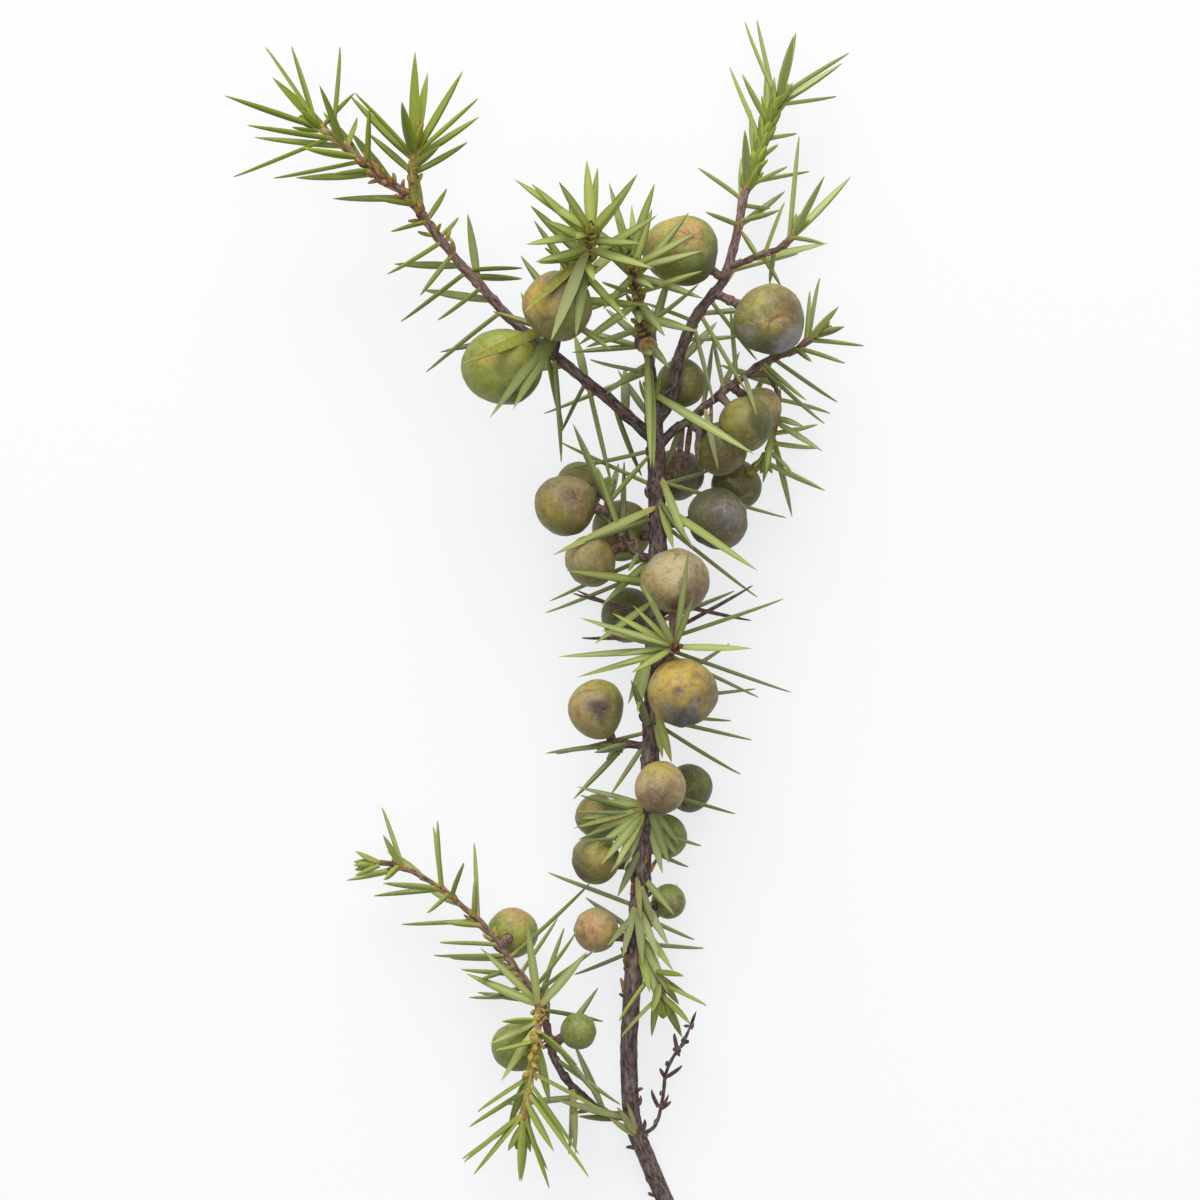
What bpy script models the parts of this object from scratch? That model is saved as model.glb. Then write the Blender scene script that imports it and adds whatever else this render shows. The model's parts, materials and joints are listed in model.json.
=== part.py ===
"""A cut sprig of juniper with its berries, lying on a flat surface as it was picked.

Every size and place is in millimetres until the meshes are made. x runs across the sprig, y along it
towards the growing tips, and z up from the surface it lies on. Each twig with the needles that grow
from it is one solid, and each berry is another, 0.3 mm clear of the short stalk that carries it.
"""

import math
import random
from collections import namedtuple

import bmesh
import bpy
import numpy as np
from mathutils import Quaternion, Vector

MM = 0.001
SEED = 41

# The middle of the sprig's box, as drawn, which becomes the origin on the surface below it
DRAWN_MIDDLE = (-5.83, -4.54)

# Gaps that neighbours keep, and how far a side twig's stub stands out of its parent's bark
JOINT_GAP = 0.3
NEEDLE_GAP = 0.25
STUB_REACH = 1.0
STUB_FLARE = 1.2

# Needles: flat above, keeled below, in whorls of three, widest at two fifths of their length
WHORL = 3
NEEDLE_WIDTH = 1.15
NEEDLE_THICKNESS = 0.6
NEEDLE_ROOT_WIDTH = 0.7
NEEDLE_WIDEST = 0.4
NEEDLE_TIP = 0.03
NEEDLE_SUNK = 0.4
FIRST_WHORL = 0.7
TIP_HEIGHT = 0.02

# Berries: a little flattened, three-lobed at the tip, and flat for a moment where one rests
BERRY_SIDES = 12
BERRY_RINGS = 7
BERRY_FLATTENING = 0.96
BERRY_LOBE = 0.035
REST_SHARE = 0.93
STALK_RADIUS = 0.42
STALK_FLARE = 1.3
STALK_SIDES = 5

# Twigs: sides round, the steps along a route and along bare bark, and the bud at the end
TWIG_SIDES = 6
STEM_SIDES = 8
ROUTE_STEP = 0.5
BARE_STEP = 3.5
BUD_LENGTH = 1.2

# The ruled needles of a twig: start and gap in mm along it, length in mm and lean in degrees from its
# direction, as (at the base, at the tip), keep the share that hasn't dropped, highest the steepest rise
Leaves = namedtuple("Leaves", "start gap length lean turn keep highest", defaults=(1.0,))
BELOW = -0.3
Twig = namedtuple("Twig", "name parent route radius tip_radius leaves")
Berry = namedtuple("Berry", "twig place diameter")
RESTS = None

TWIGS = [
    Twig(
        "main_stem", None,
        [(10, -73, 1.15), (7.1, -66.5, 1.7), (5.2, -62, 2.5), (3.6, -57.5, 3.5), (3.2, -50.5, 5.0),
         (3.5, -44, 6.1), (4.0, -37.5, 7.0), (4.5, -31, 7.7), (5.0, -25, 8.2), (5.5, -18.5, 8.5),
         (5.8, -12, 8.7), (6.0, -4.5, 8.8), (6.4, 3.5, 8.8), (6.3, 11, 8.9), (6.1, 17.5, 9.2),
         (5.8, 22.5, 9.8)],
        1.15, 0.85, Leaves(37, (4.4, 3.6), (9.5, 11.5), (74, 62), 20, 0.6, BELOW),
    ),
    Twig(
        "leader_shoot", "main_stem",
        [(5.8, 22.5, 9.8), (5.6, 25.2, 10.6), (5.0, 28.4, 12.2), (4.2, 31.8, 14.6), (3.9, 34.6, 17.4),
         (3.4, 36.8, 20.4), (2.9, 38.0, 23.4)],
        0.68, 0.42, Leaves(2.5, (3.0, 1.8), (11, 10), (70, 50), 35, 0.75),
    ),
    Twig(
        "left_branch", "main_stem",
        [(6.1, 17.6, 9.3), (3.6, 19.8, 10.4), (1.1, 22, 11.4), (-2.2, 24.6, 12.4), (-5.2, 27.1, 13.2),
         (-7.7, 29, 13.8), (-10.1, 31.1, 14.4), (-12.7, 34, 15.2), (-15.2, 36.7, 16), (-17.3, 39.3, 16.8),
         (-19, 41.4, 17.4), (-20.4, 43.3, 17.9), (-22, 44.9, 18.3), (-24.2, 46.3, 18.6),
         (-26.1, 48, 18.8), (-28, 49.7, 18.9), (-29.7, 50.9, 19), (-31.4, 51.9, 19)],
        0.8, 0.42, Leaves(4.5, (3.1, 2.0), (10.5, 10.5), (80, 44), 12, 0.88, BELOW),
    ),
    Twig(
        "left_side_shoot", "left_branch",
        [(-20.4, 43.3, 17.9), (-20.4, 45.6, 19), (-20.3, 48, 19.7), (-20.2, 50.2, 20.2)],
        0.48, 0.38, Leaves(1.9, (1.9, 1.5), (11, 10.5), (52, 22), 30, 1.0, BELOW),
    ),
    Twig(
        "left_front_shoot", "left_branch",
        [(-5.2, 27.1, 13.2), (-4.4, 29.5, 15.4), (-3.2, 32.5, 18), (-2, 35.5, 21.2), (-1.3, 38, 25),
         (-1.0, 39.8, 28.6)],
        0.6, 0.42, Leaves(3.0, (2.8, 1.7), (9.5, 9.5), (74, 52), 50, 0.75),
    ),
    Twig(
        "right_branch", "main_stem",
        [(5.9, 19.6, 9.4), (7.5, 21.6, 9.8), (8.3, 24.4, 10.3), (8.9, 27.4, 10.8), (10.3, 30.7, 11.3),
         (11.7, 32.8, 11.6),
         (13.4, 34.9, 11.7), (14.5, 38, 11.4), (15.2, 40.8, 11), (15.7, 43.6, 10.5), (16.2, 45.6, 10.1),
         (17, 47.6, 9.7), (18, 50.8, 9.2), (18.9, 53.4, 8.8), (19.9, 55.6, 8.5)],
        0.85, 0.42, Leaves(4.0, (3.2, 2.1), (10.5, 10), (76, 38), 40, 0.85, BELOW),
    ),
    Twig(
        "right_side_shoot", "right_branch",
        [(14.2, 36.8, 11.5), (15.6, 37.1, 12.2), (17.3, 37.8, 13), (19.6, 38.6, 13.8), (21.1, 39.8, 14.4),
         (21.9, 41.3, 14.9)],
        0.5, 0.38, Leaves(2.4, (2.6, 1.7), (9.5, 10.5), (66, 30), 10, 0.9, BELOW),
    ),
    Twig(
        "right_low_branch", "main_stem",
        [(6.15, 16.6, 9.1), (7.9, 18.5, 9.4), (9.9, 19.9, 9.6), (11.5, 21.3, 9.8), (13.8, 23.1, 10),
         (16, 24.7, 10.2), (17.6, 26, 10.3), (19.8, 26.9, 10.2), (21.9, 27.8, 10), (23.1, 28.7, 9.8),
         (24.4, 29.6, 9.6)],
        0.7, 0.4, Leaves(3.6, (3.0, 2.0), (11, 8), (78, 42), 25, 0.9, BELOW),
    ),
    Twig(
        "right_hanging_shoot", "right_low_branch",
        [(16.3, 24.9, 10.2), (18.7, 24.7, 8), (19.7, 22.5, 5.8), (19.4, 19.5, 5.2), (18.7, 17, 6),
         (18.3, 15.2, 7.2)],
        0.48, 0.38, Leaves(2.6, (2.4, 1.6), (9.5, 9.5), (72, 48), 0, 0.85, BELOW),
    ),
    Twig(
        "front_spur", "main_stem",
        [(6.0, -7.2, 8.8), (6.9, -6.5, 11.2), (7.8, -5.6, 14.2), (8.2, -5.1, 17)],
        0.62, 0.5, Leaves(3.6, (2.0, 1.5), (11.5, 10.5), (86, 72), 15, 1.0, BELOW),
    ),
    Twig(
        "left_spur", "main_stem",
        [(6.3, 4.4, 8.8), (3.8, 5.3, 10.6), (1.6, 8, 10.9), (0.9, 10.6, 10.4), (0.9, 12.2, 10)],
        0.52, 0.42, Leaves(2.6, (2.6, 1.8), (9, 9.5), (70, 36), 70, 0.9),
    ),
    Twig(
        "low_left_spur", "main_stem",
        [(5.6, -16.2, 8.6), (3.8, -16, 9.3), (2.2, -15.9, 9.8), (0.9, -16.2, 9.8)],
        0.5, 0.42, Leaves(2.0, (1.6, 1.3), (8.5, 8), (72, 46), 80, 0.9),
    ),
    Twig(
        "low_right_spur", "main_stem",
        [(3.9, -39.4, 6.8), (5.8, -40.6, 7.8), (6.7, -42.8, 8.4), (6.9, -45, 8.7)],
        0.5, 0.42, Leaves(2.0, (1.6, 1.2), (6.5, 6), (70, 38), 40, 1.0),
    ),
    Twig(
        "low_twig", "main_stem",
        [(3.5, -57.4, 3.5), (0.6, -56.9, 4.8), (-1.6, -55.2, 5.9), (-3.9, -52.8, 7), (-5.3, -50, 8),
         (-6, -46.8, 8.8), (-6.7, -44.2, 9.2), (-9.2, -40.8, 9.2), (-11.5, -37.6, 8.8), (-13, -35.9, 8.5),
         (-15.6, -33.5, 8.2), (-18, -31.6, 8), (-20.4, -30.2, 7.8), (-23.1, -29.2, 7.6),
         (-25.3, -29.2, 7.4)],
        0.7, 0.38, Leaves(3.4, (3.4, 2.3), (9.5, 8), (68, 44), 5, 0.8, BELOW),
    ),
    Twig(
        "low_front_shoot", "low_twig",
        [(-6.6, -44.6, 9.2), (-6.8, -45.5, 12.2), (-7, -47.6, 14.8), (-7.4, -50.2, 16.2),
         (-7.9, -53.4, 16.4), (-8.4, -56.6, 15.8), (-8.7, -58.6, 15.2)],
        0.55, 0.42, Leaves(2.8, (2.4, 1.5), (8.5, 9), (74, 36), 20, 1.0, BELOW),
    ),
    Twig(
        "bare_twiglet", "main_stem",
        [(4.1, -59.6, 3.1), (6.1, -58.4, 3.4), (6.9, -55.5, 4.2), (7.3, -52.5, 5.2), (8.1, -50.6, 6),
         (9.3, -48.8, 6.6), (10.2, -46.6, 7)],
        0.42, 0.34, None,
    ),
]

BERRIES = [
    Berry("right_branch", (8.9, 38.3, 14.0), 8.2),
    Berry("right_branch", (18.6, 30.8, 13.8), 8.0),
    Berry("right_branch", (9.0, 24.0, 6.6), 5.6),
    Berry("left_branch", (-10.6, 25.6, 18.2), 9.0),
    Berry("left_front_shoot", (-4.6, 31.9, 23.5), 7.8),
    Berry("right_low_branch", (17.6, 21.0, 9.2), 5.2),
    Berry("right_low_branch", (16.0, 19.3, 14.9), 6.2),
    Berry("right_low_branch", (13.4, 16.8, 7.8), 6.2),
    Berry("right_hanging_shoot", (15.2, 12.8, RESTS), 5.8),
    Berry("main_stem", (12.9, 9.0, 10.4), 7.0),
    Berry("main_stem", (8.6, 13.9, RESTS), 6.0),
    Berry("main_stem", (2.4, 7.7, 5.5), 7.0),
    Berry("left_spur", (-3.8, 10.4, 10.6), 7.0),
    Berry("left_spur", (-2.2, 12.6, 4.4), 5.6),
    Berry("left_spur", (-1.0, 4.3, 11.6), 5.8),
    Berry("front_spur", (8.3, 1.9, 14.3), 7.7),
    Berry("front_spur", (9.0, -10.1, 15.2), 7.9),
    Berry("main_stem", (3.1, -1.7, RESTS), 6.2),
    Berry("low_left_spur", (-0.4, -12.0, 10.6), 6.5),
    Berry("main_stem", (6.6, -20.6, 12.9), 5.9),
    Berry("main_stem", (9.9, -20.9, RESTS), 5.4),
    Berry("main_stem", (-0.3, -24.0, 5.4), 5.0),
    Berry("main_stem", (-0.4, -28.6, 9.4), 5.6),
    Berry("main_stem", (7.2, -26.2, 4.4), 5.0),
    Berry("main_stem", (-0.4, -36.5, 7.8), 5.1),
    Berry("main_stem", (7.6, -33.4, 5.6), 4.0),
    Berry("low_twig", (-9.7, -37.0, RESTS), 5.7),
    Berry("low_front_shoot", (-9.2, -49.2, 12.0), 5.5),
    Berry("low_twig", (-2.4, -47.6, 9.4), 4.2),
]

# Needles that the sprig shows clearly, by twig, each as the place it leaves its twig, the place of its
# point, and how much higher its point is
DRAWN = {
    "leader_shoot": [
        (4.0, 35.6, 11.2, 33.1, 1), (4.2, 36.1, 11.2, 38.0, 3), (3.5, 35.4, 0.4, 31.7, 2),
        (3.5, 36.3, 0.0, 39.6, 3), (4.5, 28.1, 0.7, 32.1, -2), (4.5, 27.7, -2.9, 27.6, -1),
        (5.5, 23.6, -5.7, 16.2, 0), (5.3, 25.9, 0.0, 23.5, 1), (4.7, 27.3, 5.7, 14.5, 3),
        (6.2, 22.2, 16.7, 16.3, 2), (4.4, 33.0, 7.0, 29.1, 4), (4.0, 36.1, 5.7, 42.6, 1),
        (3.7, 36.3, 1.9, 41.6, 2), (4.4, 28.8, 7.5, 25.5, 4),
    ],
    "left_branch": [
        (-31.0, 51.9, -40.9, 55.0, 1), (-30.6, 51.5, -36.4, 60.4, 0), (-30.6, 51.9, -33.7, 60.7, -4),
        (-29.0, 51.1, -28.1, 60.5, -3), (-27.9, 49.5, -30.5, 55.9, 4), (-28.8, 50.6, -38.4, 51.6, 2),
        (-29.5, 50.4, -40.0, 46.2, 0), (-26.4, 48.1, -32.1, 48.8, 5), (-26.2, 48.2, -35.6, 46.0, -1),
        (-25.3, 46.9, -29.0, 46.3, 3), (-25.2, 47.1, -25.4, 53.7, 4), (-27.5, 49.3, -26.7, 53.0, -6),
        (-30.2, 51.7, -27.2, 55.7, -3), (-20.4, 43.5, -24.5, 43.8, 2), (-19.6, 40.7, -22.8, 40.5, 4),
        (-18.0, 39.0, -22.9, 35.4, 1), (-16.7, 37.2, -19.5, 33.3, 4), (-15.1, 35.8, -21.6, 30.5, 0),
        (-13.4, 33.8, -17.5, 30.5, 5), (-11.2, 31.6, -19.1, 25.4, 1), (-18.5, 41.7, -16.8, 45.0, -4),
        (-17.4, 39.7, -15.4, 41.7, -5), (-14.3, 36.5, -8.7, 36.7, -3), (-13.9, 35.6, -8.6, 35.2, -6),
        (-5.2, 26.2, -3.7, 15.4, 0), (-1.5, 23.1, 1.3, 12.8, -2), (1.3, 20.9, 5.7, 14.1, -4),
        (-1.9, 23.3, -4.4, 18.9, -5), (-6.0, 26.9, -4.2, 18.9, -5),
    ],
    "left_side_shoot": [
        (-20.1, 48.6, -20.2, 59.8, 0), (-20.4, 48.4, -21.6, 53.7, 6), (-20.6, 48.6, -26.4, 55.4, 2),
        (-19.8, 48.6, -15.0, 57.8, -2), (-19.8, 48.4, -13.3, 54.7, 0), (-19.7, 48.0, -13.3, 52.9, -4),
        (-19.8, 46.4, -14.4, 49.7, -2), (-19.9, 47.1, -17.5, 49.5, 6), (-20.6, 48.2, -27.6, 55.0, -4),
        (-20.8, 46.5, -25.4, 51.1, -2),
    ],
    "left_front_shoot": [
        (-1.1, 40.5, -1.4, 47.5, 0), (-1.3, 40.1, -9.2, 45.4, 0), (-1.5, 39.6, -7.9, 38.3, 3),
        (-0.9, 40.4, 2.4, 43.5, 4), (-1.9, 38.0, -6.6, 36.3, 4), (-0.9, 39.0, 4.4, 38.5, 2),
        (-1.1, 40.0, -4.4, 44.9, 5), (-2.4, 35.2, -3.5, 27.5, 5), (-2.2, 35.8, 0.0, 29.7, 4),
        (-2.8, 34.6, -7.9, 32.5, 2), (-1.3, 39.0, -6.0, 40.7, 6),
    ],
    "right_branch": [
        (19.6, 55.2, 15.7, 63.8, -2), (19.8, 55.2, 21.1, 61.8, 5), (20.2, 55.4, 22.0, 62.9, -2),
        (20.4, 55.4, 27.3, 60.7, 0), (20.0, 54.7, 26.2, 55.8, -3), (18.5, 52.8, 15.6, 57.8, 2),
        (18.0, 50.8, 21.7, 52.0, -3), (16.5, 45.5, 16.1, 51.7, 4), (16.5, 45.5, 20.4, 48.2, -1),
        (15.8, 44.3, 11.2, 47.9, -1), (15.4, 42.0, 19.6, 42.4, 4), (15.7, 43.8, 18.7, 43.2, -3),
        (15.2, 41.2, 11.7, 42.5, 4), (12.3, 33.0, 17.3, 26.4, -2), (11.0, 31.7, 15.9, 23.3, -1),
        (9.9, 30.4, 12.3, 21.8, 0), (9.2, 29.0, 15.4, 28.9, -2), (10.2, 30.9, 5.3, 33.0, -3),
    ],
    "right_side_shoot": [
        (20.9, 39.6, 21.7, 50.9, 1), (21.1, 39.8, 27.5, 46.4, 1), (21.2, 39.6, 24.4, 46.2, 6),
        (21.2, 39.5, 24.6, 39.2, 5), (17.8, 37.8, 20.2, 34.8, -3), (18.0, 38.1, 20.2, 43.5, 3),
        (17.3, 37.6, 15.4, 40.5, 3), (19.2, 38.5, 18.7, 34.9, -4),
    ],
    "right_low_branch": [
        (17.6, 26.2, 24.4, 19.2, 1), (18.0, 26.4, 22.3, 21.8, 3), (22.0, 27.8, 27.1, 26.4, 1),
        (21.7, 27.7, 23.5, 26.3, 5), (22.7, 28.8, 23.5, 34.0, 0), (23.1, 29.0, 26.0, 32.2, 3),
        (23.6, 29.4, 26.6, 29.8, 4), (16.3, 24.9, 17.3, 18.0, 3), (11.6, 21.4, 10.7, 28.1, -3),
        (13.8, 23.1, 12.3, 29.7, -4),
    ],
    "right_hanging_shoot": [
        (18.3, 18.5, 24.1, 19.1, 1), (18.3, 17.6, 24.2, 16.5, -1), (18.3, 16.7, 21.2, 14.3, 3),
        (18.3, 15.4, 24.9, 12.1, 0), (18.1, 17.6, 18.1, 13.0, 3),
    ],
    "front_spur": [
        (8.2, -5.1, -2.1, -2.0, 1), (7.9, -5.3, -4.4, -6.2, 0), (7.9, -5.5, -2.4, -8.4, -1),
        (7.9, -5.5, 2.3, -9.0, 4), (8.6, -5.2, 16.5, -5.3, 1), (8.4, -4.7, 5.5, 0.0, 6),
        (8.8, -4.7, 10.1, 0.2, 7),
    ],
    "main_stem": [
        (6.2, 16.7, -3.5, 15.5, 1), (6.0, 9.3, -4.8, 5.0, 2), (6.0, 7.7, -6.0, 6.5, -2),
        (6.3, 1.6, -2.8, 3.0, 0), (6.3, 5.0, -5.2, 0.2, -4), (6.3, 3.5, -5.4, -1.8, -3),
        (6.5, -1.6, -2.5, 0.7, -2), (6.4, -4.2, -1.6, -4.4, -5), (6.8, 8.8, 18.1, 2.9, 3),
        (6.6, 13.0, 20.7, 8.9, -3), (6.6, 11.0, 9.2, 5.5, 6), (6.9, -3.9, 16.4, 1.5, 1),
        (6.9, -4.4, 19.8, 0.0, -2), (6.8, -5.0, 20.6, -10.2, -2), (6.8, -5.5, 17.1, -10.4, 1),
        (7.0, 0.0, 16.3, -2.4, -5), (5.7, -13.0, 16.3, -15.1, 0), (5.7, -13.4, 14.8, -19.6, -1),
        (5.5, -14.8, -4.4, -17.1, 0), (5.5, -15.6, 1.1, -20.9, 2), (5.7, -14.1, 3.7, -8.8, 4),
        (6.0, -11.0, 16.7, -9.5, -3), (5.7, -12.7, 14.1, -13.4, -5), (5.3, -20.9, 14.5, -23.3, -2),
        (5.0, -23.3, -1.5, -21.2, 3), (5.0, -23.6, -1.9, -23.3, 4), (5.0, -24.2, -1.9, -26.0, 4),
        (4.7, -25.9, -1.3, -27.7, 4), (4.7, -26.6, 0.7, -29.5, 5), (4.6, -27.5, 9.2, -29.5, -1),
        (4.8, -25.5, 9.9, -27.1, -3), (4.4, -35.2, 9.7, -37.5, -2), (4.1, -38.0, 11.0, -38.7, -4),
        (4.1, -36.3, -3.3, -33.5, -3), (3.9, -39.8, 9.9, -44.0, -3), (4.0, -39.0, -2.2, -41.8, -3),
    ],
    "low_twig": [
        (-17.6, -31.5, -18.3, -24.4, 1), (-16.3, -32.7, -15.3, -28.8, 3),
        (-13.9, -34.9, -13.5, -30.8, 2), (-21.6, -28.6, -24.2, -26.0, 2),
        (-21.8, -28.7, -23.8, -30.8, 4), (-17.6, -31.7, -23.9, -31.2, 2),
        (-16.7, -32.7, -18.9, -34.5, 4), (-13.0, -35.8, -17.2, -35.6, 1),
        (-11.0, -38.0, -17.6, -37.4, 0), (-10.4, -39.0, -18.3, -39.4, -2),
        (-8.8, -41.2, -15.2, -40.7, 3), (-9.3, -40.5, -13.2, -42.0, 5), (-7.7, -42.7, -12.8, -43.7, -2),
        (-7.2, -43.6, -14.3, -44.3, -3), (-6.5, -42.9, -0.9, -38.3, 3), (-6.7, -42.4, -2.4, -36.9, 0),
        (-6.3, -45.1, 1.3, -47.4, 0), (-7.9, -40.7, -4.8, -35.2, -1), (-9.3, -39.0, -0.9, -31.7, -4),
        (-6.2, -48.0, 0.7, -54.6, 0), (-5.3, -50.8, 2.0, -56.1, -2), (-3.2, -53.9, -2.9, -61.3, -2),
    ],
    "low_front_shoot": [
        (-8.0, -56.1, -15.1, -61.3, 0), (-8.2, -56.3, -13.8, -63.0, -1), (-8.4, -56.5, -8.9, -63.6, 1),
        (-8.2, -56.5, -8.4, -63.8, -3), (-8.1, -56.3, -5.6, -64.5, -1), (-7.8, -54.8, -5.2, -60.3, 4),
        (-7.7, -53.9, -1.3, -63.1, 0), (-7.6, -53.0, -2.4, -60.7, -1), (-7.5, -51.7, 1.3, -56.3, -2),
        (-7.6, -52.2, -13.4, -55.9, 0), (-7.2, -48.4, -11.2, -49.5, 4), (-6.9, -46.4, -10.7, -46.0, 4),
        (-6.9, -47.3, -2.5, -50.8, 2),
    ],
}

COLOURS = {
    "main_stem": (0.20, 0.125, 0.095),
    "bare_twiglet": (0.17, 0.12, 0.11),
    "leafy": (0.20, 0.27, 0.075),
    "berry": (0.34, 0.33, 0.14),
}


def blend(ends, share):
    """The value that is a share of the way from the first of two to the second."""
    return ends[0] + (ends[1] - ends[0]) * share


class Axis:
    """A smooth line through a twig's route, with its length and a steady side direction."""

    def __init__(self, route):
        self.points = [Vector(route[0])]
        corners = [Vector(p) for p in route]
        corners = [2 * corners[0] - corners[1], *corners, 2 * corners[-1] - corners[-2]]
        for before, start, end, after in zip(corners, corners[1:], corners[2:], corners[3:]):
            steps = max(2, round((end - start).length / ROUTE_STEP))
            for step in range(1, steps + 1):
                t = step / steps
                self.points.append(0.5 * (
                    2 * start + (end - before) * t
                    + (2 * before - 5 * start + 4 * end - after) * t * t
                    + (3 * start - before - 3 * end + after) * t ** 3
                ))
        self.stations = [0.0]
        for start, end in zip(self.points, self.points[1:]):
            self.stations.append(self.stations[-1] + (end - start).length)
        self.length = self.stations[-1]
        self.sides = self._carried_sides()

    def _carried_sides(self):
        heading = (self.points[1] - self.points[0]).normalized()
        across = Vector((0, 0, 1)) if abs(heading.z) < 0.8 else Vector((0, 1, 0))
        side = across.cross(heading).normalized()
        sides = [side]
        for start, end in zip(self.points, self.points[1:]):
            heading = (end - start).normalized()
            side = (side - heading * side.dot(heading)).normalized()
            sides.append(side)
        return sides

    def at(self, station):
        """The point, the heading and the side direction at a distance from the base."""
        station = min(max(station, 0.0), self.length)
        index = int(np.searchsorted(self.stations, station, side="right")) - 1
        index = min(max(index, 0), len(self.points) - 2)
        start, end = self.points[index], self.points[index + 1]
        share = (station - self.stations[index]) / (end - start).length
        heading = (end - start).normalized()
        side = self.sides[index].lerp(self.sides[index + 1], share)
        side = (side - heading * side.dot(heading)).normalized()
        return start.lerp(end, share), heading, side

    def nearest(self, place):
        """How far along the axis comes closest to a place."""
        gaps = [(point - place).length for point in self.points]
        return self.stations[gaps.index(min(gaps))]


AXES = {twig.name: Axis(twig.route) for twig in TWIGS}
TWIG = {twig.name: twig for twig in TWIGS}


def twig_radius(twig, station):
    return blend((twig.radius, twig.tip_radius), station / AXES[twig.name].length)


def clear_of_parent(twig):
    """Where a side twig's own solid begins: past its parent's bark and the stub that grows from it."""
    if twig.parent is None:
        return 0.0
    axis, parent_axis, parent = AXES[twig.name], AXES[twig.parent], TWIG[twig.parent]
    station = twig_radius(parent, parent_axis.nearest(axis.points[0])) + STUB_REACH
    while True:
        place = axis.at(station)[0]
        beside = parent_axis.nearest(place)
        gap = (place - parent_axis.at(beside)[0]).length - twig_radius(parent, beside) - twig.radius
        if gap > JOINT_GAP:
            return station + JOINT_GAP
        station += 0.1


STARTS = {twig.name: clear_of_parent(twig) for twig in TWIGS}


def around(side, heading, degrees):
    """The direction that is turned by so many degrees about a twig's heading."""
    return Quaternion(heading, math.radians(degrees)) @ side


def whorl_stations(twig):
    """Distances along a twig at which a whorl of needles grows, closer together near the tip."""
    leaves, length = twig.leaves, AXES[twig.name].length
    stations = []
    station = max(leaves.start, STARTS[twig.name] + FIRST_WHORL)
    while station < length - 0.3:
        stations.append(station)
        station += blend(leaves.gap, station / length)
    return stations


def berry_place(berry):
    """The centre of a berry, which hangs where it is drawn or rests on the surface."""
    x, y, z = berry.place
    return Vector((x, y, berry.diameter / 2 * REST_SHARE if z is RESTS else z))


def berry_root(berry):
    """The place on its twig that a berry's stalk leaves, a little nearer the twig's base."""
    axis, centre = AXES[berry.twig], berry_place(berry)
    station = max(axis.nearest(centre) - 0.8, STARTS[berry.twig] + 0.4)
    return axis.at(station)[0]


class Obstacles:
    """Round bars that the needles of other solids stay clear of."""

    def __init__(self):
        self.rows, self.owners = [], []

    def add(self, owner, start, end, start_radius, end_radius):
        self.rows.append([*start, *end, start_radius, end_radius])
        self.owners.append(owner)

    def clearance(self, owner, points, widths):
        """The smallest gap between a needle's points and whatever belongs to another solid."""
        rows = np.array([row for row, name in zip(self.rows, self.owners) if name != owner])
        start, along = rows[:, 0:3], rows[:, 3:6] - rows[:, 0:3]
        squared = np.maximum((along ** 2).sum(1), 1e-9)
        reach = points[:, None, :] - start[None]
        share = np.clip((reach * along[None]).sum(2) / squared[None], 0, 1)
        gap = np.linalg.norm(reach - share[..., None] * along[None], axis=2)
        gap -= rows[None, :, 6] + share * (rows[:, 7] - rows[:, 6])[None] + widths[:, None]
        return float(gap.min())


def fixed_obstacles():
    """Every twig, stub, stalk and berry as bars and balls."""
    obstacles = Obstacles()
    for twig in TWIGS:
        axis = AXES[twig.name]
        stations = np.arange(STARTS[twig.name], axis.length, 1.5)
        for start, end in zip(stations, [*stations[1:], axis.length]):
            radius = twig_radius(twig, start)
            obstacles.add(twig.name, axis.at(start)[0], axis.at(end)[0], radius, radius)
        if twig.parent:
            stub_end = axis.at(STARTS[twig.name] - JOINT_GAP)[0]
            obstacles.add(twig.parent, axis.points[0], stub_end, twig.radius * STUB_FLARE, twig.radius)
    for number, berry in enumerate(BERRIES):
        centre = berry_place(berry)
        radius = berry.diameter / 2
        obstacles.add(f"berry {number}", centre, centre, radius, radius)
        stalk = STALK_RADIUS * STALK_FLARE
        obstacles.add(berry.twig, berry_root(berry), centre, stalk, stalk)
    return obstacles


NEEDLE_SHARES = np.linspace(0.08, 1.0, 13)
NEEDLE_HALF_WIDTHS = np.interp(
    NEEDLE_SHARES, [0, NEEDLE_WIDEST, 1], [NEEDLE_SUNK, NEEDLE_WIDTH / 2, NEEDLE_TIP]
)


def laid_on_surface(root, direction, length):
    """A needle's direction, raised if its point would reach below the surface."""
    lowest = (TIP_HEIGHT - root.z) / length
    if direction.z >= lowest:
        return direction
    level = Vector((direction.x, direction.y, 0))
    level = level.normalized() if level.length > 0.05 else Vector((1, 0, 0))
    return level * math.sqrt(1 - lowest * lowest) + Vector((0, 0, lowest))


# How a needle is moved, in degrees of turn and lean, until it is clear of other pieces
TRIES = [(0, 0), (8, 0), (-8, 0), (0, -8), (0, 8), (16, 0), (-16, 0), (10, -10), (-10, -10), (0, -18),
         (26, 0), (-26, 0), (18, -16), (-18, -16), (16, 14), (-16, 14), (38, -6), (-38, -6), (0, -30)]
SHORTENINGS = (1.0, 0.8, 0.6)


def clear_needle(obstacles, owner, root, heading, direction, length):
    """The direction and length of a needle that is clear of every other solid, or None."""
    across = heading.cross(direction).normalized()
    for shortening in SHORTENINGS:
        for turn, lean in TRIES:
            tried = Quaternion(across, math.radians(lean)) @ direction
            tried = Quaternion(heading, math.radians(turn)) @ tried
            tried = laid_on_surface(root, tried, length * shortening)
            points = np.array([root + tried * (length * shortening * s) for s in NEEDLE_SHARES])
            if obstacles.clearance(owner, points, NEEDLE_HALF_WIDTHS) > NEEDLE_GAP:
                return tried, length * shortening
    return None


Needle = namedtuple("Needle", "root direction heading length")


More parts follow.
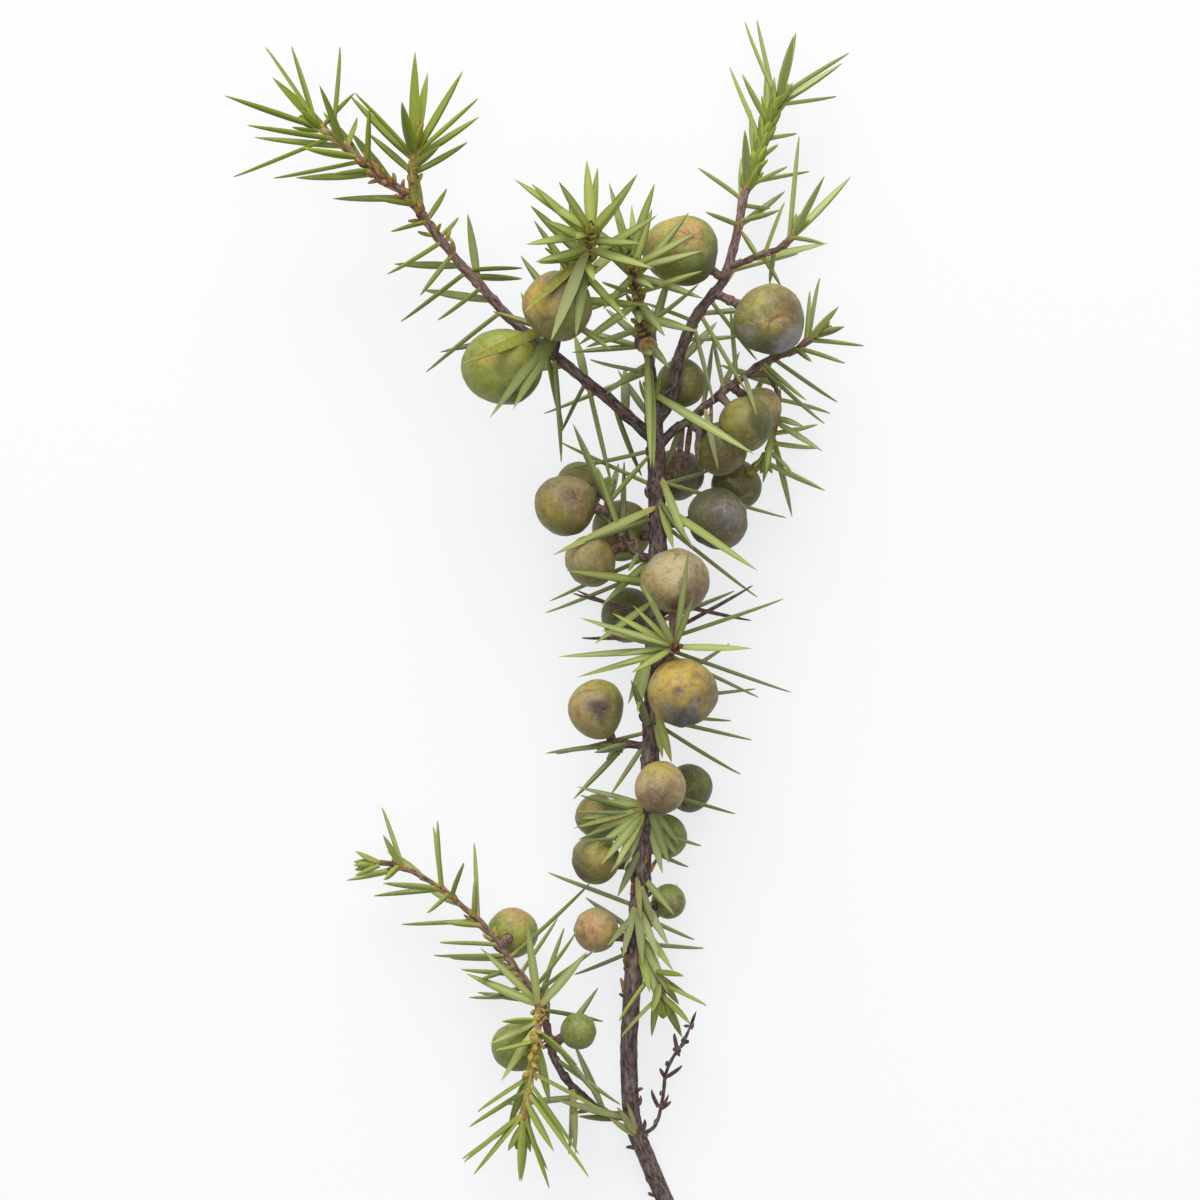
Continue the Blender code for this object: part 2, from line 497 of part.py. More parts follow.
def drawn_needles(twig):
    """The needles drawn one by one on a twig, as (station, direction, length)."""
    axis = AXES[twig.name]
    for x, y, tip_x, tip_y, rise in DRAWN.get(twig.name, []):
        gaps = [math.hypot(point.x - x, point.y - y) for point in axis.points]
        station = max(axis.stations[gaps.index(min(gaps))], STARTS[twig.name] + FIRST_WHORL)
        centre = axis.at(station)[0]
        reach = Vector((tip_x - centre.x, tip_y - centre.y, rise))
        yield station, reach.normalized(), reach.length


def ruled_needles(twig, draw):
    """The needles that a twig's whorls add, with a small scatter, below those that are drawn."""
    leaves, axis = twig.leaves, AXES[twig.name]
    if not leaves:
        return
    for index, station in enumerate(whorl_stations(twig)):
        share = station / axis.length
        centre, heading, side = axis.at(station)
        for leaf in range(WHORL):
            turn = leaves.turn + 60 * index + 120 * leaf + draw.uniform(-14, 14)
            angle = math.radians(blend(leaves.lean, share) + draw.uniform(-9, 9))
            length = blend(leaves.length, share) * draw.uniform(0.84, 1.08)
            direction = heading * math.cos(angle) + around(side, heading, turn) * math.sin(angle)
            kept = draw.random() < leaves.keep
            if kept and direction.z <= leaves.highest:
                yield station, direction, length


def place_needles():
    """Every needle of every twig, drawn ones first, each clear of the other solids."""
    draw = random.Random(SEED)
    obstacles = fixed_obstacles()
    wanted = [(twig, needle) for twig in reversed(TWIGS) for needle in drawn_needles(twig)]
    wanted += [(twig, needle) for twig in reversed(TWIGS) for needle in ruled_needles(twig, draw)]
    needles = {twig.name: [] for twig in TWIGS}
    for twig, (station, direction, length) in wanted:
        axis = AXES[twig.name]
        centre, heading, side = axis.at(station)
        outward = (direction - heading * direction.dot(heading)).normalized()
        root = centre + outward * max(0.0, twig_radius(twig, station) - NEEDLE_SUNK)
        placed = clear_needle(obstacles, twig.name, root, heading, direction, length)
        if placed is None:
            continue
        direction, length = placed
        end = root + direction * length
        widest = root.lerp(end, NEEDLE_WIDEST)
        obstacles.add(twig.name, root, widest, NEEDLE_SUNK, NEEDLE_WIDTH / 2)
        obstacles.add(twig.name, widest, end, NEEDLE_WIDTH / 2, NEEDLE_TIP)
        needles[twig.name].append(Needle(root, direction, heading, length))
    return needles


def row_place(point):
    """From the drawing's millimetres to metres from the origin."""
    return Vector((point[0] - DRAWN_MIDDLE[0], point[1] - DRAWN_MIDDLE[1], point[2])) * MM


def material(name, colour, roughness):
    """A plain finish in one colour."""
    finish = bpy.data.materials.new(name)
    finish.use_nodes = True
    shader = finish.node_tree.nodes["Principled BSDF"]
    shader.inputs["Base Color"].default_value = (*colour, 1)
    shader.inputs["Roughness"].default_value = roughness
    return finish


def mesh_object(name, rings, collection):
    """A closed mesh through rings of points, where a ring of one point is a tip."""
    mesh = bmesh.new()
    rows = [[mesh.verts.new(row_place(point)) for point in ring] for ring in rings]
    for lower, upper in zip(rows, rows[1:]):
        count = max(len(lower), len(upper))
        for index in range(count):
            after = (index + 1) % count
            corners = [
                lower[index % len(lower)], lower[after % len(lower)],
                upper[after % len(upper)], upper[index % len(upper)],
            ]
            mesh.faces.new(list(dict.fromkeys(corners)))
    for row in (rows[0], rows[-1]):
        if len(row) > 2:
            mesh.faces.new(row)
    bmesh.ops.recalc_face_normals(mesh, faces=mesh.faces)
    bmesh.ops.triangulate(mesh, faces=mesh.faces)
    data = bpy.data.meshes.new(name)
    mesh.to_mesh(data)
    mesh.free()
    made = bpy.data.objects.new(name, data)
    collection.objects.link(made)
    return made


def ring(centre, heading, side, radius, sides):
    """Points round a centre, square to a heading."""
    return [
        centre + around(side, heading, 360 * index / sides) * radius
        for index in range(sides)
    ]


def tube_rings(axis, stations, radii, sides):
    """Rings of points along an axis."""
    rings = []
    for station, radius in zip(stations, radii):
        centre, heading, side = axis.at(station)
        rings.append(ring(centre, heading, side, radius, sides))
    return rings


def twig_rings(twig):
    """A twig's bark, with a ring of points between each whorl and the next, ending in a small bud."""
    axis, first = AXES[twig.name], STARTS[twig.name]
    whorls = whorl_stations(twig) if twig.leaves else []
    bare_end = whorls[0] - 2 if whorls else axis.length - 1
    stations = [*np.arange(first, max(first + 0.1, bare_end), BARE_STEP)]
    stations += [(below + above) / 2 for below, above in zip(whorls, whorls[1:])]
    radii = [twig_radius(twig, station) for station in stations]
    stations.append(axis.length)
    radii.append(twig.tip_radius * 0.8)
    rings = tube_rings(axis, stations, radii, STEM_SIDES if twig.parent is None else TWIG_SIDES)
    tip, heading, _ = axis.at(axis.length)
    return [*rings, [tip + heading * BUD_LENGTH]]


def stub_rings(twig):
    """The first stretch of a side twig, which belongs to the parent's wood."""
    axis = AXES[twig.name]
    end = STARTS[twig.name] - JOINT_GAP
    return tube_rings(axis, [0, end], [twig.radius * STUB_FLARE, twig.radius], TWIG_SIDES)


def stalk_rings(berry):
    """The short stalk from its twig to 0.3 mm below the berry."""
    root, centre = berry_root(berry), berry_place(berry)
    heading = (centre - root).normalized()
    side = heading.orthogonal().normalized()
    end = centre - heading * (berry.diameter / 2 * BERRY_FLATTENING + JOINT_GAP)
    return [
        ring(root, heading, side, STALK_RADIUS, STALK_SIDES),
        ring(end, heading, side, STALK_RADIUS * STALK_FLARE, STALK_SIDES),
    ]


def needle_rings(needle):
    """A needle: a flat blade with a keel below, broadest at two fifths, drawn out to a point."""
    forward = needle.heading - needle.direction * needle.heading.dot(needle.direction)
    upper = forward.normalized()
    across = needle.direction.cross(upper)
    rings = []
    for share, width in ((0, NEEDLE_ROOT_WIDTH), (NEEDLE_WIDEST, NEEDLE_WIDTH)):
        middle = needle.root + needle.direction * needle.length * share
        half, lift = across * width / 2, upper * NEEDLE_THICKNESS / 3
        rings.append([middle + lift - half, middle + lift + half, middle - lift * 2])
    rings.append([needle.root + needle.direction * needle.length])
    return rings


def berry_rings(berry):
    """A berry from its stalk end to its tip, where three scales meet in low lobes."""
    centre = berry_place(berry)
    heading = (centre - berry_root(berry)).normalized()
    side = heading.orthogonal().normalized()
    radius = berry.diameter / 2
    rings = []
    for step in range(BERRY_RINGS + 1):
        angle = math.pi * step / BERRY_RINGS
        middle = centre - heading * (math.cos(angle) * radius * BERRY_FLATTENING)
        if step in (0, BERRY_RINGS):
            rings.append([middle])
            continue
        lobe = BERRY_LOBE * max(0.0, -math.cos(angle)) ** 2
        points = []
        for index in range(BERRY_SIDES):
            turn = 360 * index / BERRY_SIDES
            reach = radius * math.sin(angle) * (1 + lobe * math.cos(math.radians(3 * turn)))
            points.append(middle + around(side, heading, turn) * reach)
        rings.append(points)
    return rings


def flatten_below(made):
    """Cuts a berry off level where it rests on the surface."""
    mesh = bmesh.new()
    mesh.from_mesh(made.data)
    everything = [*mesh.verts, *mesh.edges, *mesh.faces]
    cut = bmesh.ops.bisect_plane(mesh, geom=everything, plane_co=(0, 0, 0), plane_no=(0, 0, -1),
                                 clear_outer=True)
    edges = [item for item in cut["geom_cut"] if isinstance(item, bmesh.types.BMEdge)]
    bmesh.ops.contextual_create(mesh, geom=edges)
    bmesh.ops.recalc_face_normals(mesh, faces=mesh.faces)
    mesh.to_mesh(made.data)
    mesh.free()


def fuse(base, repeats):
    """Joins everything in a collection to the base with one Boolean, then removes the collection."""
    modifier = base.modifiers.new("grown together", "BOOLEAN")
    modifier.operation = "UNION"
    modifier.operand_type = "COLLECTION"
    modifier.collection = repeats
    modifier.solver = "MANIFOLD"
    bpy.context.view_layer.objects.active = base
    bpy.ops.object.modifier_apply(modifier=modifier.name)
    for made in list(repeats.objects):
        bpy.data.objects.remove(made)
    bpy.data.collections.remove(repeats)
    keep_outer_skin(base)


def keep_outer_skin(made):
    """Drops the small hollows sealed between needle roots, and merges faces that lie in one plane."""
    mesh = bmesh.new()
    mesh.from_mesh(made.data)
    unseen, skins = set(mesh.faces), []
    while unseen:
        skin, rim = set(), [unseen.pop()]
        while rim:
            face = rim.pop()
            skin.add(face)
            beside = {other for edge in face.edges for other in edge.link_faces} & unseen
            unseen -= beside
            rim.extend(beside)
        skins.append(skin)
    skins.sort(key=lambda skin: sum(face.calc_area() for face in skin))
    hollows = [face for skin in skins[:-1] for face in skin]
    bmesh.ops.delete(mesh, geom=hollows, context="FACES")
    bmesh.ops.dissolve_limit(mesh, angle_limit=math.radians(1.0), verts=mesh.verts, edges=mesh.edges)
    bmesh.ops.triangulate(mesh, faces=mesh.faces)
    mesh.to_mesh(made.data)
    mesh.free()


def finish(made, colour):
    """Gives an object its material, and rounds it except at its keen edges."""
    made.data.materials.clear()
    made.data.materials.append(colour)
    made.data.shade_smooth()
    made.data.set_sharp_from_angle(angle=math.radians(40))


def build_twig(twig, needles, colours):
    """One node: a twig's wood, the stubs and stalks on it, and its needles."""
    scene = bpy.context.scene.collection
    base = mesh_object(twig.name, twig_rings(twig), scene)
    repeats = bpy.data.collections.new(twig.name + " repeats")
    scene.children.link(repeats)
    for child in TWIGS:
        if child.parent == twig.name:
            mesh_object("stub", stub_rings(child), repeats)
    for berry in BERRIES:
        if berry.twig == twig.name:
            mesh_object("stalk", stalk_rings(berry), repeats)
    for needle in needles:
        mesh_object("needle", needle_rings(needle), repeats)
    if repeats.objects:
        fuse(base, repeats)
    finish(base, colours.get(twig.name, colours["leafy"]))


def build_berries(colour):
    """One node for each berry, named for its twig and numbered along the list."""
    counts = {}
    for berry in BERRIES:
        counts[berry.twig] = counts.get(berry.twig, 0) + 1
        name = f"berry_{berry.twig}_{counts[berry.twig]}"
        made = mesh_object(name, berry_rings(berry), bpy.context.scene.collection)
        if berry.place[2] is RESTS:
            flatten_below(made)
        finish(made, colour)


def main():
    """Builds every twig with its needles, and every berry."""
    for made in list(bpy.data.objects):
        bpy.data.objects.remove(made)
    roughness = {"main_stem": 0.85, "bare_twiglet": 0.85, "leafy": 0.5, "berry": 0.5}
    colours = {name: material(name, colour, roughness[name]) for name, colour in COLOURS.items()}
    needles = place_needles()
    for twig in TWIGS:
        build_twig(twig, needles[twig.name], colours)
    build_berries(colours["berry"])


main()
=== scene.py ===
"""The looks of a cut sprig of juniper with its berries, lying on a pale surface and seen from above.

Every size and place is in millimetres, as drawn, until a shape is put in its place. The twigs, the
berries and the rule that places the needles say the same as the solids that these pieces stand for.
"""

import json
import math
import random
from collections import namedtuple

import bmesh
import bpy
import numpy as np
from mathutils import Matrix, Quaternion, Vector, noise

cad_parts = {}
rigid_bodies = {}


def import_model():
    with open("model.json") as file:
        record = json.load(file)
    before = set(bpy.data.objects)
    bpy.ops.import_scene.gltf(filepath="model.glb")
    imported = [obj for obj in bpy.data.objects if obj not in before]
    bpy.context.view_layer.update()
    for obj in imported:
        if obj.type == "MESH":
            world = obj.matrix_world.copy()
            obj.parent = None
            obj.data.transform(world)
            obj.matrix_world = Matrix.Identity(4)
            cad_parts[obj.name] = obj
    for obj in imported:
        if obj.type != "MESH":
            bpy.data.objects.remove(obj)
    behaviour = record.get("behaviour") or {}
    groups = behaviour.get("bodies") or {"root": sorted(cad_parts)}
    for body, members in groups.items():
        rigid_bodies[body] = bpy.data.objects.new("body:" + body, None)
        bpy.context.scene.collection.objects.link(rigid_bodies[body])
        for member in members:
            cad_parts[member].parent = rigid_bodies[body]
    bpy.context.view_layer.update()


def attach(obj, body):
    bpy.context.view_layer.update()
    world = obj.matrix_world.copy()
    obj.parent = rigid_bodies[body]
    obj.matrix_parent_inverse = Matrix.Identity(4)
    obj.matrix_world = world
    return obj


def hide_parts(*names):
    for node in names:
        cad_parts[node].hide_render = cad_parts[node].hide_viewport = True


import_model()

MM = 0.001
SEED = 41
# The middle of the sprig's box, as drawn, which becomes the origin on the surface below it
DRAWN_MIDDLE = (-5.83, -4.54)

# Gaps that neighbours keep, and how far a side twig's stub stands out of its parent's bark
JOINT_GAP = 0.3
NEEDLE_GAP = 0.25
STUB_REACH = 1.0
STUB_FLARE = 1.2
STUB_STEP = 0.1

# Needles: flat above, keeled below, widest at two fifths of their length, with a sunken foot
NEEDLE_WIDTH = 1.15
NEEDLE_THICKNESS = 0.6
NEEDLE_WIDEST = 0.4
NEEDLE_TIP = 0.03
NEEDLE_SUNK = 0.4
# The least height of a needle's point, and the level reach below which it counts as straight down
TIP_HEIGHT = 0.02
PLUMB = 0.05
# Whorls of three: how far they keep from a solid's start and from the tip, and in degrees the turn from
# one needle to the next and from one whorl to the next
WHORL = 3
FIRST_WHORL = 0.7
LAST_WHORL = 0.3
NEEDLE_TURN = 120
WHORL_TURN = 60
# How much the ruled needles vary: turn and lean in degrees to either side, and the share of length
TURN_SCATTER = 14
LEAN_SCATTER = 9
LENGTH_SCATTER = (0.84, 1.08)

# Berries: a little flattened, with the middle of a resting one at a share of its radius. A stalk leaves
# its twig a little back from the berry, and not too near the start of the twig's solid
BERRY_FLATTENING = 0.96
REST_SHARE = 0.93
STALK_RADIUS = 0.42
STALK_FLARE = 1.3
STALK_BACK = 0.8
STALK_START = 0.4

# Twigs: the step along a route, the bars that stand for them when gaps are measured, how steep a
# heading counts as upright, and the bud at the end
ROUTE_STEP = 0.5
BAR_LENGTH = 1.5
UPRIGHT = 0.8
BUD_LENGTH = 1.2

# The ruled needles of a twig: start and gap in mm along it, length in mm and lean in degrees from its
# direction, as (at the base, at the tip), turn the place of the first in degrees round the twig, keep
# the share that hasn't dropped, and highest the steepest rise, which is below the level where all the
# upper needles are drawn one by one
Leaves = namedtuple("Leaves", "start gap length lean turn keep highest", defaults=(1.0,))
BELOW = -0.3

# A twig's route is (x, y, height). A berry is the twig that it grows on, its middle and its diameter
Twig = namedtuple("Twig", "name parent route radius tip_radius leaves")
Berry = namedtuple("Berry", "twig place diameter")
# The height of a berry that lies on the surface follows from its diameter
RESTS = None

TWIGS = [
    Twig(
        "main_stem", None,
        [(10, -73, 1.15), (7.1, -66.5, 1.7), (5.2, -62, 2.5), (3.6, -57.5, 3.5), (3.2, -50.5, 5.0),
         (3.5, -44, 6.1), (4.0, -37.5, 7.0), (4.5, -31, 7.7), (5.0, -25, 8.2), (5.5, -18.5, 8.5),
         (5.8, -12, 8.7), (6.0, -4.5, 8.8), (6.4, 3.5, 8.8), (6.3, 11, 8.9), (6.1, 17.5, 9.2),
         (5.8, 22.5, 9.8)],
        1.15, 0.85, Leaves(37, (4.4, 3.6), (9.5, 11.5), (74, 62), 20, 0.6, BELOW),
    ),
    Twig(
        "leader_shoot", "main_stem",
        [(5.8, 22.5, 9.8), (5.6, 25.2, 10.6), (5.0, 28.4, 12.2), (4.2, 31.8, 14.6), (3.9, 34.6, 17.4),
         (3.4, 36.8, 20.4), (2.9, 38.0, 23.4)],
        0.68, 0.42, Leaves(2.5, (3.0, 1.8), (11, 10), (70, 50), 35, 0.75),
    ),
    Twig(
        "left_branch", "main_stem",
        [(6.1, 17.6, 9.3), (3.6, 19.8, 10.4), (1.1, 22, 11.4), (-2.2, 24.6, 12.4), (-5.2, 27.1, 13.2),
         (-7.7, 29, 13.8), (-10.1, 31.1, 14.4), (-12.7, 34, 15.2), (-15.2, 36.7, 16), (-17.3, 39.3, 16.8),
         (-19, 41.4, 17.4), (-20.4, 43.3, 17.9), (-22, 44.9, 18.3), (-24.2, 46.3, 18.6),
         (-26.1, 48, 18.8), (-28, 49.7, 18.9), (-29.7, 50.9, 19), (-31.4, 51.9, 19)],
        0.8, 0.42, Leaves(4.5, (3.1, 2.0), (10.5, 10.5), (80, 44), 12, 0.88, BELOW),
    ),
    Twig(
        "left_side_shoot", "left_branch",
        [(-20.4, 43.3, 17.9), (-20.4, 45.6, 19), (-20.3, 48, 19.7), (-20.2, 50.2, 20.2)],
        0.48, 0.38, Leaves(1.9, (1.9, 1.5), (11, 10.5), (52, 22), 30, 1.0, BELOW),
    ),
    Twig(
        "left_front_shoot", "left_branch",
        [(-5.2, 27.1, 13.2), (-4.4, 29.5, 15.4), (-3.2, 32.5, 18), (-2, 35.5, 21.2), (-1.3, 38, 25),
         (-1.0, 39.8, 28.6)],
        0.6, 0.42, Leaves(3.0, (2.8, 1.7), (9.5, 9.5), (74, 52), 50, 0.75),
    ),
    Twig(
        "right_branch", "main_stem",
        [(5.9, 19.6, 9.4), (7.5, 21.6, 9.8), (8.3, 24.4, 10.3), (8.9, 27.4, 10.8), (10.3, 30.7, 11.3),
         (11.7, 32.8, 11.6), (13.4, 34.9, 11.7), (14.5, 38, 11.4), (15.2, 40.8, 11), (15.7, 43.6, 10.5),
         (16.2, 45.6, 10.1), (17, 47.6, 9.7), (18, 50.8, 9.2), (18.9, 53.4, 8.8), (19.9, 55.6, 8.5)],
        0.85, 0.42, Leaves(4.0, (3.2, 2.1), (10.5, 10), (76, 38), 40, 0.85, BELOW),
    ),
    Twig(
        "right_side_shoot", "right_branch",
        [(14.2, 36.8, 11.5), (15.6, 37.1, 12.2), (17.3, 37.8, 13), (19.6, 38.6, 13.8), (21.1, 39.8, 14.4),
         (21.9, 41.3, 14.9)],
        0.5, 0.38, Leaves(2.4, (2.6, 1.7), (9.5, 10.5), (66, 30), 10, 0.9, BELOW),
    ),
    Twig(
        "right_low_branch", "main_stem",
        [(6.15, 16.6, 9.1), (7.9, 18.5, 9.4), (9.9, 19.9, 9.6), (11.5, 21.3, 9.8), (13.8, 23.1, 10),
         (16, 24.7, 10.2), (17.6, 26, 10.3), (19.8, 26.9, 10.2), (21.9, 27.8, 10), (23.1, 28.7, 9.8),
         (24.4, 29.6, 9.6)],
        0.7, 0.4, Leaves(3.6, (3.0, 2.0), (11, 8), (78, 42), 25, 0.9, BELOW),
    ),
    Twig(
        "right_hanging_shoot", "right_low_branch",
        [(16.3, 24.9, 10.2), (18.7, 24.7, 8), (19.7, 22.5, 5.8), (19.4, 19.5, 5.2), (18.7, 17, 6),
         (18.3, 15.2, 7.2)],
        0.48, 0.38, Leaves(2.6, (2.4, 1.6), (9.5, 9.5), (72, 48), 0, 0.85, BELOW),
    ),
    Twig(
        "front_spur", "main_stem",
        [(6.0, -7.2, 8.8), (6.9, -6.5, 11.2), (7.8, -5.6, 14.2), (8.2, -5.1, 17)],
        0.62, 0.5, Leaves(3.6, (2.0, 1.5), (11.5, 10.5), (86, 72), 15, 1.0, BELOW),
    ),
    Twig(
        "left_spur", "main_stem",
        [(6.3, 4.4, 8.8), (3.8, 5.3, 10.6), (1.6, 8, 10.9), (0.9, 10.6, 10.4), (0.9, 12.2, 10)],
        0.52, 0.42, Leaves(2.6, (2.6, 1.8), (9, 9.5), (70, 36), 70, 0.9),
    ),
    Twig(
        "low_left_spur", "main_stem",
        [(5.6, -16.2, 8.6), (3.8, -16, 9.3), (2.2, -15.9, 9.8), (0.9, -16.2, 9.8)],
        0.5, 0.42, Leaves(2.0, (1.6, 1.3), (8.5, 8), (72, 46), 80, 0.9),
    ),
    Twig(
        "low_right_spur", "main_stem",
        [(3.9, -39.4, 6.8), (5.8, -40.6, 7.8), (6.7, -42.8, 8.4), (6.9, -45, 8.7)],
        0.5, 0.42, Leaves(2.0, (1.6, 1.2), (6.5, 6), (70, 38), 40, 1.0),
    ),
    Twig(
        "low_twig", "main_stem",
        [(3.5, -57.4, 3.5), (0.6, -56.9, 4.8), (-1.6, -55.2, 5.9), (-3.9, -52.8, 7), (-5.3, -50, 8),
         (-6, -46.8, 8.8), (-6.7, -44.2, 9.2), (-9.2, -40.8, 9.2), (-11.5, -37.6, 8.8), (-13, -35.9, 8.5),
         (-15.6, -33.5, 8.2), (-18, -31.6, 8), (-20.4, -30.2, 7.8), (-23.1, -29.2, 7.6),
         (-25.3, -29.2, 7.4)],
        0.7, 0.38, Leaves(3.4, (3.4, 2.3), (9.5, 8), (68, 44), 5, 0.8, BELOW),
    ),
    Twig(
        "low_front_shoot", "low_twig",
        [(-6.6, -44.6, 9.2), (-6.8, -45.5, 12.2), (-7, -47.6, 14.8), (-7.4, -50.2, 16.2),
         (-7.9, -53.4, 16.4), (-8.4, -56.6, 15.8), (-8.7, -58.6, 15.2)],
        0.55, 0.42, Leaves(2.8, (2.4, 1.5), (8.5, 9), (74, 36), 20, 1.0, BELOW),
    ),
    Twig(
        "bare_twiglet", "main_stem",
        [(4.1, -59.6, 3.1), (6.1, -58.4, 3.4), (6.9, -55.5, 4.2), (7.3, -52.5, 5.2), (8.1, -50.6, 6),
         (9.3, -48.8, 6.6), (10.2, -46.6, 7)],
        0.42, 0.34, None,
    ),
]

BERRIES = [
    Berry("right_branch", (8.9, 38.3, 14.0), 8.2),
    Berry("right_branch", (18.6, 30.8, 13.8), 8.0),
    Berry("right_branch", (9.0, 24.0, 6.6), 5.6),
    Berry("left_branch", (-10.6, 25.6, 18.2), 9.0),
    Berry("left_front_shoot", (-4.6, 31.9, 23.5), 7.8),
    Berry("right_low_branch", (17.6, 21.0, 9.2), 5.2),
    Berry("right_low_branch", (16.0, 19.3, 14.9), 6.2),
    Berry("right_low_branch", (13.4, 16.8, 7.8), 6.2),
    Berry("right_hanging_shoot", (15.2, 12.8, RESTS), 5.8),
    Berry("main_stem", (12.9, 9.0, 10.4), 7.0),
    Berry("main_stem", (8.6, 13.9, RESTS), 6.0),
    Berry("main_stem", (2.4, 7.7, 5.5), 7.0),
    Berry("left_spur", (-3.8, 10.4, 10.6), 7.0),
    Berry("left_spur", (-2.2, 12.6, 4.4), 5.6),
    Berry("left_spur", (-1.0, 4.3, 11.6), 5.8),
    Berry("front_spur", (8.3, 1.9, 14.3), 7.7),
    Berry("front_spur", (9.0, -10.1, 15.2), 7.9),
    Berry("main_stem", (3.1, -1.7, RESTS), 6.2),
    Berry("low_left_spur", (-0.4, -12.0, 10.6), 6.5),
    Berry("main_stem", (6.6, -20.6, 12.9), 5.9),
    Berry("main_stem", (9.9, -20.9, RESTS), 5.4),
    Berry("main_stem", (-0.3, -24.0, 5.4), 5.0),
    Berry("main_stem", (-0.4, -28.6, 9.4), 5.6),
    Berry("main_stem", (7.2, -26.2, 4.4), 5.0),
    Berry("main_stem", (-0.4, -36.5, 7.8), 5.1),
    Berry("main_stem", (7.6, -33.4, 5.6), 4.0),
    Berry("low_twig", (-9.7, -37.0, RESTS), 5.7),
    Berry("low_front_shoot", (-9.2, -49.2, 12.0), 5.5),
    Berry("low_twig", (-2.4, -47.6, 9.4), 4.2),
]

